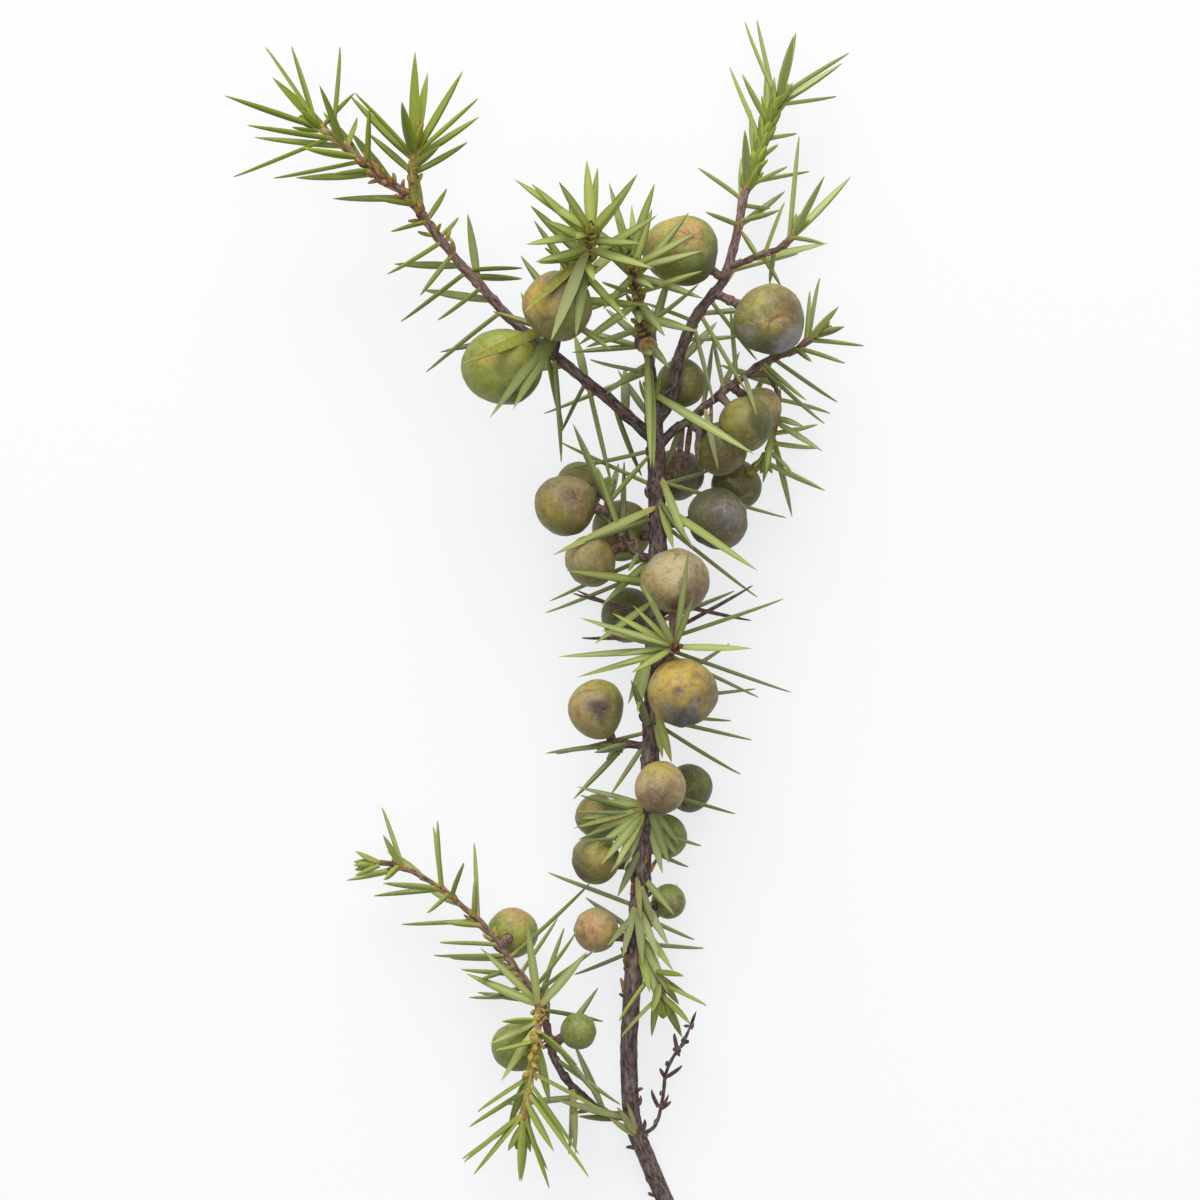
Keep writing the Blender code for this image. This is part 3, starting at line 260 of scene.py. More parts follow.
# Needles that the sprig shows clearly, by twig, each as the place it leaves its twig, the place of its
# point, and how much higher its point is
DRAWN = {
    "leader_shoot": [
        (4.0, 35.6, 11.2, 33.1, 1), (4.2, 36.1, 11.2, 38.0, 3), (3.5, 35.4, 0.4, 31.7, 2),
        (3.5, 36.3, 0.0, 39.6, 3), (4.5, 28.1, 0.7, 32.1, -2), (4.5, 27.7, -2.9, 27.6, -1),
        (5.5, 23.6, -5.7, 16.2, 0), (5.3, 25.9, 0.0, 23.5, 1), (4.7, 27.3, 5.7, 14.5, 3),
        (6.2, 22.2, 16.7, 16.3, 2), (4.4, 33.0, 7.0, 29.1, 4), (4.0, 36.1, 5.7, 42.6, 1),
        (3.7, 36.3, 1.9, 41.6, 2), (4.4, 28.8, 7.5, 25.5, 4),
    ],
    "left_branch": [
        (-31.0, 51.9, -40.9, 55.0, 1), (-30.6, 51.5, -36.4, 60.4, 0), (-30.6, 51.9, -33.7, 60.7, -4),
        (-29.0, 51.1, -28.1, 60.5, -3), (-27.9, 49.5, -30.5, 55.9, 4), (-28.8, 50.6, -38.4, 51.6, 2),
        (-29.5, 50.4, -40.0, 46.2, 0), (-26.4, 48.1, -32.1, 48.8, 5), (-26.2, 48.2, -35.6, 46.0, -1),
        (-25.3, 46.9, -29.0, 46.3, 3), (-25.2, 47.1, -25.4, 53.7, 4), (-27.5, 49.3, -26.7, 53.0, -6),
        (-30.2, 51.7, -27.2, 55.7, -3), (-20.4, 43.5, -24.5, 43.8, 2), (-19.6, 40.7, -22.8, 40.5, 4),
        (-18.0, 39.0, -22.9, 35.4, 1), (-16.7, 37.2, -19.5, 33.3, 4), (-15.1, 35.8, -21.6, 30.5, 0),
        (-13.4, 33.8, -17.5, 30.5, 5), (-11.2, 31.6, -19.1, 25.4, 1), (-18.5, 41.7, -16.8, 45.0, -4),
        (-17.4, 39.7, -15.4, 41.7, -5), (-14.3, 36.5, -8.7, 36.7, -3), (-13.9, 35.6, -8.6, 35.2, -6),
        (-5.2, 26.2, -3.7, 15.4, 0), (-1.5, 23.1, 1.3, 12.8, -2), (1.3, 20.9, 5.7, 14.1, -4),
        (-1.9, 23.3, -4.4, 18.9, -5), (-6.0, 26.9, -4.2, 18.9, -5),
    ],
    "left_side_shoot": [
        (-20.1, 48.6, -20.2, 59.8, 0), (-20.4, 48.4, -21.6, 53.7, 6), (-20.6, 48.6, -26.4, 55.4, 2),
        (-19.8, 48.6, -15.0, 57.8, -2), (-19.8, 48.4, -13.3, 54.7, 0), (-19.7, 48.0, -13.3, 52.9, -4),
        (-19.8, 46.4, -14.4, 49.7, -2), (-19.9, 47.1, -17.5, 49.5, 6), (-20.6, 48.2, -27.6, 55.0, -4),
        (-20.8, 46.5, -25.4, 51.1, -2),
    ],
    "left_front_shoot": [
        (-1.1, 40.5, -1.4, 47.5, 0), (-1.3, 40.1, -9.2, 45.4, 0), (-1.5, 39.6, -7.9, 38.3, 3),
        (-0.9, 40.4, 2.4, 43.5, 4), (-1.9, 38.0, -6.6, 36.3, 4), (-0.9, 39.0, 4.4, 38.5, 2),
        (-1.1, 40.0, -4.4, 44.9, 5), (-2.4, 35.2, -3.5, 27.5, 5), (-2.2, 35.8, 0.0, 29.7, 4),
        (-2.8, 34.6, -7.9, 32.5, 2), (-1.3, 39.0, -6.0, 40.7, 6),
    ],
    "right_branch": [
        (19.6, 55.2, 15.7, 63.8, -2), (19.8, 55.2, 21.1, 61.8, 5), (20.2, 55.4, 22.0, 62.9, -2),
        (20.4, 55.4, 27.3, 60.7, 0), (20.0, 54.7, 26.2, 55.8, -3), (18.5, 52.8, 15.6, 57.8, 2),
        (18.0, 50.8, 21.7, 52.0, -3), (16.5, 45.5, 16.1, 51.7, 4), (16.5, 45.5, 20.4, 48.2, -1),
        (15.8, 44.3, 11.2, 47.9, -1), (15.4, 42.0, 19.6, 42.4, 4), (15.7, 43.8, 18.7, 43.2, -3),
        (15.2, 41.2, 11.7, 42.5, 4), (12.3, 33.0, 17.3, 26.4, -2), (11.0, 31.7, 15.9, 23.3, -1),
        (9.9, 30.4, 12.3, 21.8, 0), (9.2, 29.0, 15.4, 28.9, -2), (10.2, 30.9, 5.3, 33.0, -3),
    ],
    "right_side_shoot": [
        (20.9, 39.6, 21.7, 50.9, 1), (21.1, 39.8, 27.5, 46.4, 1), (21.2, 39.6, 24.4, 46.2, 6),
        (21.2, 39.5, 24.6, 39.2, 5), (17.8, 37.8, 20.2, 34.8, -3), (18.0, 38.1, 20.2, 43.5, 3),
        (17.3, 37.6, 15.4, 40.5, 3), (19.2, 38.5, 18.7, 34.9, -4),
    ],
    "right_low_branch": [
        (17.6, 26.2, 24.4, 19.2, 1), (18.0, 26.4, 22.3, 21.8, 3), (22.0, 27.8, 27.1, 26.4, 1),
        (21.7, 27.7, 23.5, 26.3, 5), (22.7, 28.8, 23.5, 34.0, 0), (23.1, 29.0, 26.0, 32.2, 3),
        (23.6, 29.4, 26.6, 29.8, 4), (16.3, 24.9, 17.3, 18.0, 3), (11.6, 21.4, 10.7, 28.1, -3),
        (13.8, 23.1, 12.3, 29.7, -4),
    ],
    "right_hanging_shoot": [
        (18.3, 18.5, 24.1, 19.1, 1), (18.3, 17.6, 24.2, 16.5, -1), (18.3, 16.7, 21.2, 14.3, 3),
        (18.3, 15.4, 24.9, 12.1, 0), (18.1, 17.6, 18.1, 13.0, 3),
    ],
    "front_spur": [
        (8.2, -5.1, -2.1, -2.0, 1), (7.9, -5.3, -4.4, -6.2, 0), (7.9, -5.5, -2.4, -8.4, -1),
        (7.9, -5.5, 2.3, -9.0, 4), (8.6, -5.2, 16.5, -5.3, 1), (8.4, -4.7, 5.5, 0.0, 6),
        (8.8, -4.7, 10.1, 0.2, 7),
    ],
    "main_stem": [
        (6.2, 16.7, -3.5, 15.5, 1), (6.0, 9.3, -4.8, 5.0, 2), (6.0, 7.7, -6.0, 6.5, -2),
        (6.3, 1.6, -2.8, 3.0, 0), (6.3, 5.0, -5.2, 0.2, -4), (6.3, 3.5, -5.4, -1.8, -3),
        (6.5, -1.6, -2.5, 0.7, -2), (6.4, -4.2, -1.6, -4.4, -5), (6.8, 8.8, 18.1, 2.9, 3),
        (6.6, 13.0, 20.7, 8.9, -3), (6.6, 11.0, 9.2, 5.5, 6), (6.9, -3.9, 16.4, 1.5, 1),
        (6.9, -4.4, 19.8, 0.0, -2), (6.8, -5.0, 20.6, -10.2, -2), (6.8, -5.5, 17.1, -10.4, 1),
        (7.0, 0.0, 16.3, -2.4, -5), (5.7, -13.0, 16.3, -15.1, 0), (5.7, -13.4, 14.8, -19.6, -1),
        (5.5, -14.8, -4.4, -17.1, 0), (5.5, -15.6, 1.1, -20.9, 2), (5.7, -14.1, 3.7, -8.8, 4),
        (6.0, -11.0, 16.7, -9.5, -3), (5.7, -12.7, 14.1, -13.4, -5), (5.3, -20.9, 14.5, -23.3, -2),
        (5.0, -23.3, -1.5, -21.2, 3), (5.0, -23.6, -1.9, -23.3, 4), (5.0, -24.2, -1.9, -26.0, 4),
        (4.7, -25.9, -1.3, -27.7, 4), (4.7, -26.6, 0.7, -29.5, 5), (4.6, -27.5, 9.2, -29.5, -1),
        (4.8, -25.5, 9.9, -27.1, -3), (4.4, -35.2, 9.7, -37.5, -2), (4.1, -38.0, 11.0, -38.7, -4),
        (4.1, -36.3, -3.3, -33.5, -3), (3.9, -39.8, 9.9, -44.0, -3), (4.0, -39.0, -2.2, -41.8, -3),
    ],
    "low_twig": [
        (-17.6, -31.5, -18.3, -24.4, 1), (-16.3, -32.7, -15.3, -28.8, 3),
        (-13.9, -34.9, -13.5, -30.8, 2), (-21.6, -28.6, -24.2, -26.0, 2),
        (-21.8, -28.7, -23.8, -30.8, 4), (-17.6, -31.7, -23.9, -31.2, 2),
        (-16.7, -32.7, -18.9, -34.5, 4), (-13.0, -35.8, -17.2, -35.6, 1),
        (-11.0, -38.0, -17.6, -37.4, 0), (-10.4, -39.0, -18.3, -39.4, -2),
        (-8.8, -41.2, -15.2, -40.7, 3), (-9.3, -40.5, -13.2, -42.0, 5), (-7.7, -42.7, -12.8, -43.7, -2),
        (-7.2, -43.6, -14.3, -44.3, -3), (-6.5, -42.9, -0.9, -38.3, 3), (-6.7, -42.4, -2.4, -36.9, 0),
        (-6.3, -45.1, 1.3, -47.4, 0), (-7.9, -40.7, -4.8, -35.2, -1), (-9.3, -39.0, -0.9, -31.7, -4),
        (-6.2, -48.0, 0.7, -54.6, 0), (-5.3, -50.8, 2.0, -56.1, -2), (-3.2, -53.9, -2.9, -61.3, -2),
    ],
    "low_front_shoot": [
        (-8.0, -56.1, -15.1, -61.3, 0), (-8.2, -56.3, -13.8, -63.0, -1), (-8.4, -56.5, -8.9, -63.6, 1),
        (-8.2, -56.5, -8.4, -63.8, -3), (-8.1, -56.3, -5.6, -64.5, -1), (-7.8, -54.8, -5.2, -60.3, 4),
        (-7.7, -53.9, -1.3, -63.1, 0), (-7.6, -53.0, -2.4, -60.7, -1), (-7.5, -51.7, 1.3, -56.3, -2),
        (-7.6, -52.2, -13.4, -55.9, 0), (-7.2, -48.4, -11.2, -49.5, 4), (-6.9, -46.4, -10.7, -46.0, 4),
        (-6.9, -47.3, -2.5, -50.8, 2),
    ],
}


def blend(ends, share):
    """The value that is a share of the way from the first of two to the second."""
    return ends[0] + (ends[1] - ends[0]) * share


def square_to(heading, direction):
    """The direction, of length one, that is left when its part along a heading is taken away."""
    return (direction - heading * direction.dot(heading)).normalized()


class Axis:
    """A smooth line through a twig's route, with its length and a steady side direction."""

    def __init__(self, route):
        self.points = [Vector(route[0])]
        corners = [Vector(p) for p in route]
        corners = [2 * corners[0] - corners[1], *corners, 2 * corners[-1] - corners[-2]]
        for before, start, end, after in zip(corners, corners[1:], corners[2:], corners[3:]):
            steps = max(2, round((end - start).length / ROUTE_STEP))
            for step in range(1, steps + 1):
                t = step / steps
                self.points.append(0.5 * (
                    2 * start + (end - before) * t
                    + (2 * before - 5 * start + 4 * end - after) * t * t
                    + (3 * start - before - 3 * end + after) * t ** 3
                ))
        self.stations = [0.0]
        for start, end in zip(self.points, self.points[1:]):
            self.stations.append(self.stations[-1] + (end - start).length)
        self.length = self.stations[-1]
        self.sides = self._carried_sides()

    def _carried_sides(self):
        """A side direction at each point, carried along without twisting."""
        heading = (self.points[1] - self.points[0]).normalized()
        across = Vector((0, 0, 1)) if abs(heading.z) < UPRIGHT else Vector((0, 1, 0))
        side = across.cross(heading).normalized()
        sides = [side]
        for start, end in zip(self.points, self.points[1:]):
            heading = (end - start).normalized()
            side = square_to(heading, side)
            sides.append(side)
        return sides

    def at(self, station):
        """The point, the heading and the side direction at a distance from the base."""
        station = min(max(station, 0.0), self.length)
        index = int(np.searchsorted(self.stations, station, side="right")) - 1
        index = min(max(index, 0), len(self.points) - 2)
        start, end = self.points[index], self.points[index + 1]
        share = (station - self.stations[index]) / (end - start).length
        heading = (end - start).normalized()
        side = self.sides[index].lerp(self.sides[index + 1], share)
        return start.lerp(end, share), heading, square_to(heading, side)

    def nearest(self, place):
        """How far along the axis comes closest to a place."""
        gaps = [(point - place).length for point in self.points]
        return self.stations[gaps.index(min(gaps))]

    def seen_at(self, x, y):
        """The number of its point that is nearest to a place, as seen from above."""
        gaps = [math.hypot(point.x - x, point.y - y) for point in self.points]
        return gaps.index(min(gaps))


AXES = {twig.name: Axis(twig.route) for twig in TWIGS}
TWIG = {twig.name: twig for twig in TWIGS}


def twig_radius(twig, station):
    """The radius of a twig's solid at a distance from its base."""
    return blend((twig.radius, twig.tip_radius), station / AXES[twig.name].length)


def clear_of_parent(twig):
    """Where a side twig's own solid begins: past its parent's bark and the stub that grows from it."""
    if twig.parent is None:
        return 0.0
    axis, parent_axis, parent = AXES[twig.name], AXES[twig.parent], TWIG[twig.parent]
    station = twig_radius(parent, parent_axis.nearest(axis.points[0])) + STUB_REACH
    while True:
        place = axis.at(station)[0]
        beside = parent_axis.nearest(place)
        gap = (place - parent_axis.at(beside)[0]).length - twig_radius(parent, beside) - twig.radius
        if gap > JOINT_GAP:
            return station + JOINT_GAP
        station += STUB_STEP


STARTS = {twig.name: clear_of_parent(twig) for twig in TWIGS}


def around(side, heading, degrees):
    """The direction that is turned by so many degrees about a twig's heading."""
    return Quaternion(heading, math.radians(degrees)) @ side


def leaning(heading, outward, degrees):
    """The direction that leans so many degrees outward from a twig's heading."""
    angle = math.radians(degrees)
    return heading * math.cos(angle) + outward * math.sin(angle)


def whorl_stations(twig):
    """Distances along a twig at which a whorl of needles grows, closer together near the tip."""
    leaves, length = twig.leaves, AXES[twig.name].length
    stations = []
    station = max(leaves.start, STARTS[twig.name] + FIRST_WHORL)
    while station < length - LAST_WHORL:
        stations.append(station)
        station += blend(leaves.gap, station / length)
    return stations


def berries_of(twig):
    """The berries whose stalks grow from a twig."""
    return [berry for berry in BERRIES if berry.twig == twig.name]


def berry_place(berry):
    """The centre of a berry, which hangs where it is drawn or rests on the surface."""
    x, y, z = berry.place
    return Vector((x, y, berry.diameter / 2 * REST_SHARE if z is RESTS else z))


def berry_root(berry):
    """The place on its twig that a berry's stalk leaves, a little nearer the twig's base."""
    axis, centre = AXES[berry.twig], berry_place(berry)
    station = max(axis.nearest(centre) - STALK_BACK, STARTS[berry.twig] + STALK_START)
    return axis.at(station)[0]


# What a bar's squared length counts as at least, so that a ball can be a bar of no length
LEAST_SQUARE = 1e-9


class Obstacles:
    """Round bars that the needles of other solids stay clear of."""

    def __init__(self):
        self.rows, self.owners = [], []

    def add(self, owner, start, end, start_radius, end_radius):
        """Adds a bar that belongs to one solid."""
        self.rows.append([*start, *end, start_radius, end_radius])
        self.owners.append(owner)

    def clearance(self, owner, points, widths):
        """The smallest gap between a needle's points and whatever belongs to another solid."""
        rows = np.array([row for row, name in zip(self.rows, self.owners) if name != owner])
        start, along = rows[:, 0:3], rows[:, 3:6] - rows[:, 0:3]
        squared = np.maximum((along ** 2).sum(1), LEAST_SQUARE)
        reach = points[:, None, :] - start[None]
        share = np.clip((reach * along[None]).sum(2) / squared[None], 0, 1)
        gap = np.linalg.norm(reach - share[..., None] * along[None], axis=2)
        gap -= rows[None, :, 6] + share * (rows[:, 7] - rows[:, 6])[None] + widths[:, None]
        return float(gap.min())


def fixed_obstacles():
    """Every twig, stub, stalk and berry as bars and balls."""
    obstacles = Obstacles()
    for twig in TWIGS:
        axis = AXES[twig.name]
        stations = np.arange(STARTS[twig.name], axis.length, BAR_LENGTH)
        for start, end in zip(stations, [*stations[1:], axis.length]):
            radius = twig_radius(twig, start)
            obstacles.add(twig.name, axis.at(start)[0], axis.at(end)[0], radius, radius)
        if twig.parent:
            stub_end = axis.at(STARTS[twig.name] - JOINT_GAP)[0]
            obstacles.add(twig.parent, axis.points[0], stub_end, twig.radius * STUB_FLARE, twig.radius)
    for number, berry in enumerate(BERRIES):
        centre = berry_place(berry)
        radius = berry.diameter / 2
        obstacles.add(f"berry {number}", centre, centre, radius, radius)
        stalk = STALK_RADIUS * STALK_FLARE
        obstacles.add(berry.twig, berry_root(berry), centre, stalk, stalk)
    return obstacles


# Where along a needle its gap to other solids is measured, and its half width there
NEEDLE_SHARES = np.linspace(0.08, 1.0, 13)
NEEDLE_HALF_WIDTHS = np.interp(
    NEEDLE_SHARES, [0, NEEDLE_WIDEST, 1], [NEEDLE_SUNK, NEEDLE_WIDTH / 2, NEEDLE_TIP]
)


def laid_on_surface(root, direction, length):
    """A needle's direction, raised if its point would reach below the surface."""
    lowest = (TIP_HEIGHT - root.z) / length
    if direction.z >= lowest:
        return direction
    level = Vector((direction.x, direction.y, 0))
    level = level.normalized() if level.length > PLUMB else Vector((1, 0, 0))
    return level * math.sqrt(1 - lowest * lowest) + Vector((0, 0, lowest))


# How a needle is moved, in degrees of turn and lean, and shortened until it is clear of other pieces
TRIES = [(0, 0), (8, 0), (-8, 0), (0, -8), (0, 8), (16, 0), (-16, 0), (10, -10), (-10, -10), (0, -18),
         (26, 0), (-26, 0), (18, -16), (-18, -16), (16, 14), (-16, 14), (38, -6), (-38, -6), (0, -30)]
SHORTENINGS = (1.0, 0.8, 0.6)


def clear_needle(obstacles, owner, root, heading, direction, length):
    """The direction and length of a needle that is clear of every other solid, or None."""
    across = heading.cross(direction).normalized()
    for shortening in SHORTENINGS:
        for turn, lean in TRIES:
            tried = Quaternion(across, math.radians(lean)) @ direction
            tried = Quaternion(heading, math.radians(turn)) @ tried
            tried = laid_on_surface(root, tried, length * shortening)
            points = np.array([root + tried * (length * shortening * s) for s in NEEDLE_SHARES])
            if obstacles.clearance(owner, points, NEEDLE_HALF_WIDTHS) > NEEDLE_GAP:
                return tried, length * shortening
    return None


Needle = namedtuple("Needle", "root direction heading length")


def drawn_needles(twig):
    """The needles drawn one by one on a twig, as (station, direction, length)."""
    axis = AXES[twig.name]
    for x, y, tip_x, tip_y, rise in DRAWN.get(twig.name, []):
        station = max(axis.stations[axis.seen_at(x, y)], STARTS[twig.name] + FIRST_WHORL)
        centre = axis.at(station)[0]
        reach = Vector((tip_x - centre.x, tip_y - centre.y, rise))
        yield station, reach.normalized(), reach.length


def ruled_needles(twig, draw):
    """The needles that a twig's whorls add, with a small scatter, below those that are drawn."""
    leaves, axis = twig.leaves, AXES[twig.name]
    if not leaves:
        return
    for index, station in enumerate(whorl_stations(twig)):
        share = station / axis.length
        _, heading, side = axis.at(station)
        for leaf in range(WHORL):
            turn = leaves.turn + WHORL_TURN * index + NEEDLE_TURN * leaf
            turn += draw.uniform(-TURN_SCATTER, TURN_SCATTER)
            lean = blend(leaves.lean, share) + draw.uniform(-LEAN_SCATTER, LEAN_SCATTER)
            length = blend(leaves.length, share) * draw.uniform(*LENGTH_SCATTER)
            direction = leaning(heading, around(side, heading, turn), lean)
            kept = draw.random() < leaves.keep
            if kept and direction.z <= leaves.highest:
                yield station, direction, length


def place_needles():
    """Every needle of every twig, drawn ones first, each clear of the other solids."""
    draw = random.Random(SEED)
    obstacles = fixed_obstacles()
    wanted = [(twig, needle) for twig in reversed(TWIGS) for needle in drawn_needles(twig)]
    wanted += [(twig, needle) for twig in reversed(TWIGS) for needle in ruled_needles(twig, draw)]
    needles = {twig.name: [] for twig in TWIGS}
    for twig, (station, direction, length) in wanted:
        axis = AXES[twig.name]
        centre, heading, _ = axis.at(station)
        outward = square_to(heading, direction)
        root = centre + outward * max(0.0, twig_radius(twig, station) - NEEDLE_SUNK)
        placed = clear_needle(obstacles, twig.name, root, heading, direction, length)
        if placed is None:
            continue
        direction, length = placed
        end = root + direction * length
        widest = root.lerp(end, NEEDLE_WIDEST)
        obstacles.add(twig.name, root, widest, NEEDLE_SUNK, NEEDLE_WIDTH / 2)
        obstacles.add(twig.name, widest, end, NEEDLE_WIDTH / 2, NEEDLE_TIP)
        needles[twig.name].append(Needle(root, direction, heading, length))
    return needles


def row_place(point):
    """From the drawing's millimetres to metres from the origin."""
    return Vector((point[0] - DRAWN_MIDDLE[0], point[1] - DRAWN_MIDDLE[1], point[2])) * MM


# Making shapes by hand: the next functions work on the one shape that is chosen and active, and a turn
# below this angle, in radians, is left out
LEAST_TURN = 1e-5


def choose_only(*made):
    """Chooses these objects and no others, with the first one active."""
    bpy.ops.object.select_all(action="DESELECT")
    for one in made:
        one.select_set(True)
    bpy.context.view_layer.objects.active = made[0]


def facing(heading, side):
    """The turn that brings up to a heading and right to a side direction."""
    return Matrix((side, heading.cross(side), heading)).transposed()


def start_outline(name, place, turn, radius, sides):
    """A small filled outline, ready to be drawn out along the turn's heading."""
    bpy.ops.object.select_all(action="DESELECT")
    bpy.ops.mesh.primitive_circle_add(
        vertices=sides, radius=radius, fill_type="NGON", location=place, rotation=turn.to_euler()
    )
    made = bpy.context.object
    made.name = name
    bpy.ops.object.transform_apply(location=True, rotation=True, scale=True)
    bpy.ops.object.mode_set(mode="EDIT")
    bpy.ops.mesh.select_all(action="SELECT")
    return made


def draw_out(step, centre, growth):
    """Draws the chosen end out by a step, then resizes it about its new centre."""
    bpy.ops.mesh.extrude_region_move(TRANSFORM_OT_translate={"value": step})
    growth = growth if hasattr(growth, "__len__") else (growth,) * 3
    bpy.ops.transform.resize(value=growth, center_override=centre)


def turn_chosen(turn, centre):
    """Turns what is chosen about a centre."""
    if turn.angle < LEAST_TURN:
        return
    across = turn.axis.orthogonal().normalized()
    axes = Matrix((across, turn.axis.cross(across), turn.axis)).transposed()
    bpy.ops.transform.rotate(
        value=-turn.angle, orient_axis="Z", orient_matrix=axes, center_override=centre
    )


def widen(growth, upright=1):
    """Resizes what is chosen about the origin, across by one share and upright by another."""
    bpy.ops.transform.resize(value=(growth, growth, upright), center_override=(0, 0, 0))


def choose_points(made, wanted):
    """In edit mode, chooses only the points whose places pass a test."""
    bpy.ops.mesh.select_mode(type="VERT")
    mesh = bmesh.from_edit_mesh(made.data)
    for point in mesh.verts:
        point.select = bool(wanted(point.co))
    mesh.select_flush_mode()
    bmesh.update_edit_mesh(made.data)


def close_shape(made):
    """Points all faces outwards, rounds their shading and leaves edit mode."""
    bpy.ops.mesh.select_all(action="SELECT")
    bpy.ops.mesh.normals_make_consistent(inside=False)
    bpy.ops.object.mode_set(mode="OBJECT")
    made.data.shade_smooth()


def refine(made, kind, **settings):
    """Adds a modifier with its settings and applies it."""
    choose_only(made)
    modifier = made.modifiers.new(kind.lower(), kind)
    for setting, value in settings.items():
        setattr(modifier, setting, value)
    bpy.ops.object.modifier_apply(modifier=modifier.name)


def roughen(made, size, strength):
    """Pushes a surface in and out by a soft noise with lumps of one size."""
    texture = bpy.data.textures.new("lumps", "CLOUDS")
    texture.noise_scale = size * MM
    texture.noise_depth = 2
    refine(made, "DISPLACE", texture=texture, strength=strength * MM, mid_level=0.5,
           texture_coords="LOCAL")
    bpy.data.textures.remove(texture)


def set_tone(mesh, name, values):
    """Writes one number for the whole mesh, or one for each point, for its finish to read."""
    tone = mesh.attributes.get(name) or mesh.attributes.new(name, "FLOAT", "POINT")
    tone.data.foreach_set("value", np.broadcast_to(np.float32(values), len(mesh.vertices)).copy())


def set_field(mesh, name, kind, key, values):
    """Writes a colour or a place for each point."""
    field = mesh.attributes.get(name) or mesh.attributes.new(name, kind, "POINT")
    field.data.foreach_set(key, np.asarray(values, np.float32).ravel())


def points_of(mesh):
    """All the places of a mesh's points, one row each."""
    places = np.zeros(len(mesh.vertices) * 3, np.float32)
    mesh.vertices.foreach_get("co", places)
    return places.reshape(-1, 3)


def place_copy(model, matrix, **tones):
    """A copy of a model with its own mesh, moved to its place, with its own tones."""
    mesh = model.data.copy()
    mesh.transform(matrix)
    for name, value in tones.items():
        set_tone(mesh, name, value)
    made = bpy.data.objects.new(model.name, mesh)
    bpy.context.scene.collection.objects.link(made)
    return made


def joined(name, parts):
    """Joins parts into one object."""
    choose_only(*parts)
    if len(parts) > 1:
        bpy.ops.object.join()
    made = bpy.context.object
    made.name = made.data.name = name
    return made


def laid(place, direction, upper, size):
    """The matrix that lays a model's length along a direction, with its upper face to upper."""
    upper = square_to(direction, upper)
    across = direction.cross(upper)
    turn = Matrix((across * size[0], direction * size[1], upper * size[2])).transposed()
    return Matrix.Translation(row_place(place)) @ turn.to_4x4()


ALONG_Y = facing(Vector((0, 1, 0)), Vector((1, 0, 0)))

# The needle: a blade with a pale channel above and a keel below, as (share of its length, share of its
# width, share of its thickness)
BLADE = [
    (0.0, 0.46, 1.0), (0.05, 0.62, 1.0), (0.15, 0.80, 1.0), (0.28, 0.95, 1.0), (0.42, 1.0, 1.0),
    (0.60, 0.88, 0.95), (0.77, 0.62, 0.8), (0.90, 0.32, 0.55), (0.97, 0.12, 0.3), (1.0, 0.03, 0.1),
]
BLADE_SIDES = 6
BLADE_LENGTH = 10.0
SIX_SIDED_BREADTH = 0.866
# The channel: its depth in mm and the shares of the length between which it runs
CHANNEL_DEPTH = 0.17
CHANNEL_REACH = (0.02, 0.95)
# How near a point counts as on the middle line, in m, and as on a ring or beside the middle line, as a
# share of the length, and the height below which it is on the keel
ON_MIDDLE = 1e-6
ON_RING = 1e-3
BESIDE_MIDDLE = 1e-4
KEEL_HEIGHT = -0.004
BOWS = (0.0, 0.4, -0.35, 0.15)


def model_blade(name, bow):
    """A needle 10 mm long on +Y, bowed up or down by so many mm at its point."""
    length = MM * BLADE_LENGTH
    made = start_outline(name, (0, 0, 0), ALONG_Y, NEEDLE_WIDTH / 2 * MM, BLADE_SIDES)
    bpy.ops.transform.resize(value=(
        BLADE[0][1] / SIX_SIDED_BREADTH, 1, BLADE[0][2] * NEEDLE_THICKNESS / NEEDLE_WIDTH
    ))
    for (share, width, depth), (after, next_width, next_depth) in zip(BLADE, BLADE[1:]):
        draw_out((0, (after - share) * length, 0), (0, after * length, 0),
                 (next_width / width, 1, next_depth / depth))
    first, last = CHANNEL_REACH
    choose_points(made, lambda p: abs(p.x) < ON_MIDDLE and p.z > 0 and first < p.y / length < last)
    bpy.ops.transform.translate(value=(0, 0, -CHANNEL_DEPTH * MM))
    choose_points(made, lambda p: abs(p.x) > ON_MIDDLE and p.z > 0)
    bpy.ops.mesh.mark_sharp()
    for share, *_ in BLADE[2:]:
        choose_points(made, lambda p: abs(p.y / length - share) < ON_RING)
        bpy.ops.transform.translate(value=(0, 0, bow * MM * share ** 2))
    close_shape(made)
    across, along, above = (points_of(made.data) / length).T
    above -= bow / BLADE_LENGTH * along ** 2
    set_tone(made.data, "along", along)
    band = np.where(above > KEEL_HEIGHT, 1, -1)
    set_tone(made.data, "band", np.where(abs(across) > BESIDE_MIDDLE, 0, band))
    return made


# The leaf cushion: the low ridge that runs down the twig from a needle's foot, as (place along the
# twig, radius), both in mm
CUSHION = [(-1.5, 0.05), (-1.0, 0.12), (-0.5, 0.17), (0.0, 0.25), (0.22, 0.22), (0.36, 0.1)]


def model_cushion():
    """A leaf cushion, with its needle's foot at the middle of the model."""
    start, radius = CUSHION[0]
    made = start_outline("cushion", (0, start * MM, 0), ALONG_Y, radius * MM, BLADE_SIDES)
    for (place, radius), (after, next_radius) in zip(CUSHION, CUSHION[1:]):
        draw_out((0, (after - place) * MM, 0), (0, after * MM, 0), next_radius / radius)
    close_shape(made)
    return made


# The berries' models, of 1 mm radius: name, how far the lobes rise and how much the stalk's end narrows
BERRY_SHAPES = (("round berry", 0.02, 0.04), ("ridged berry", 0.07, 0.08), ("pear berry", 0.03, 0.4))
BERRY_COLUMNS = 24
BERRY_LEVELS = 16
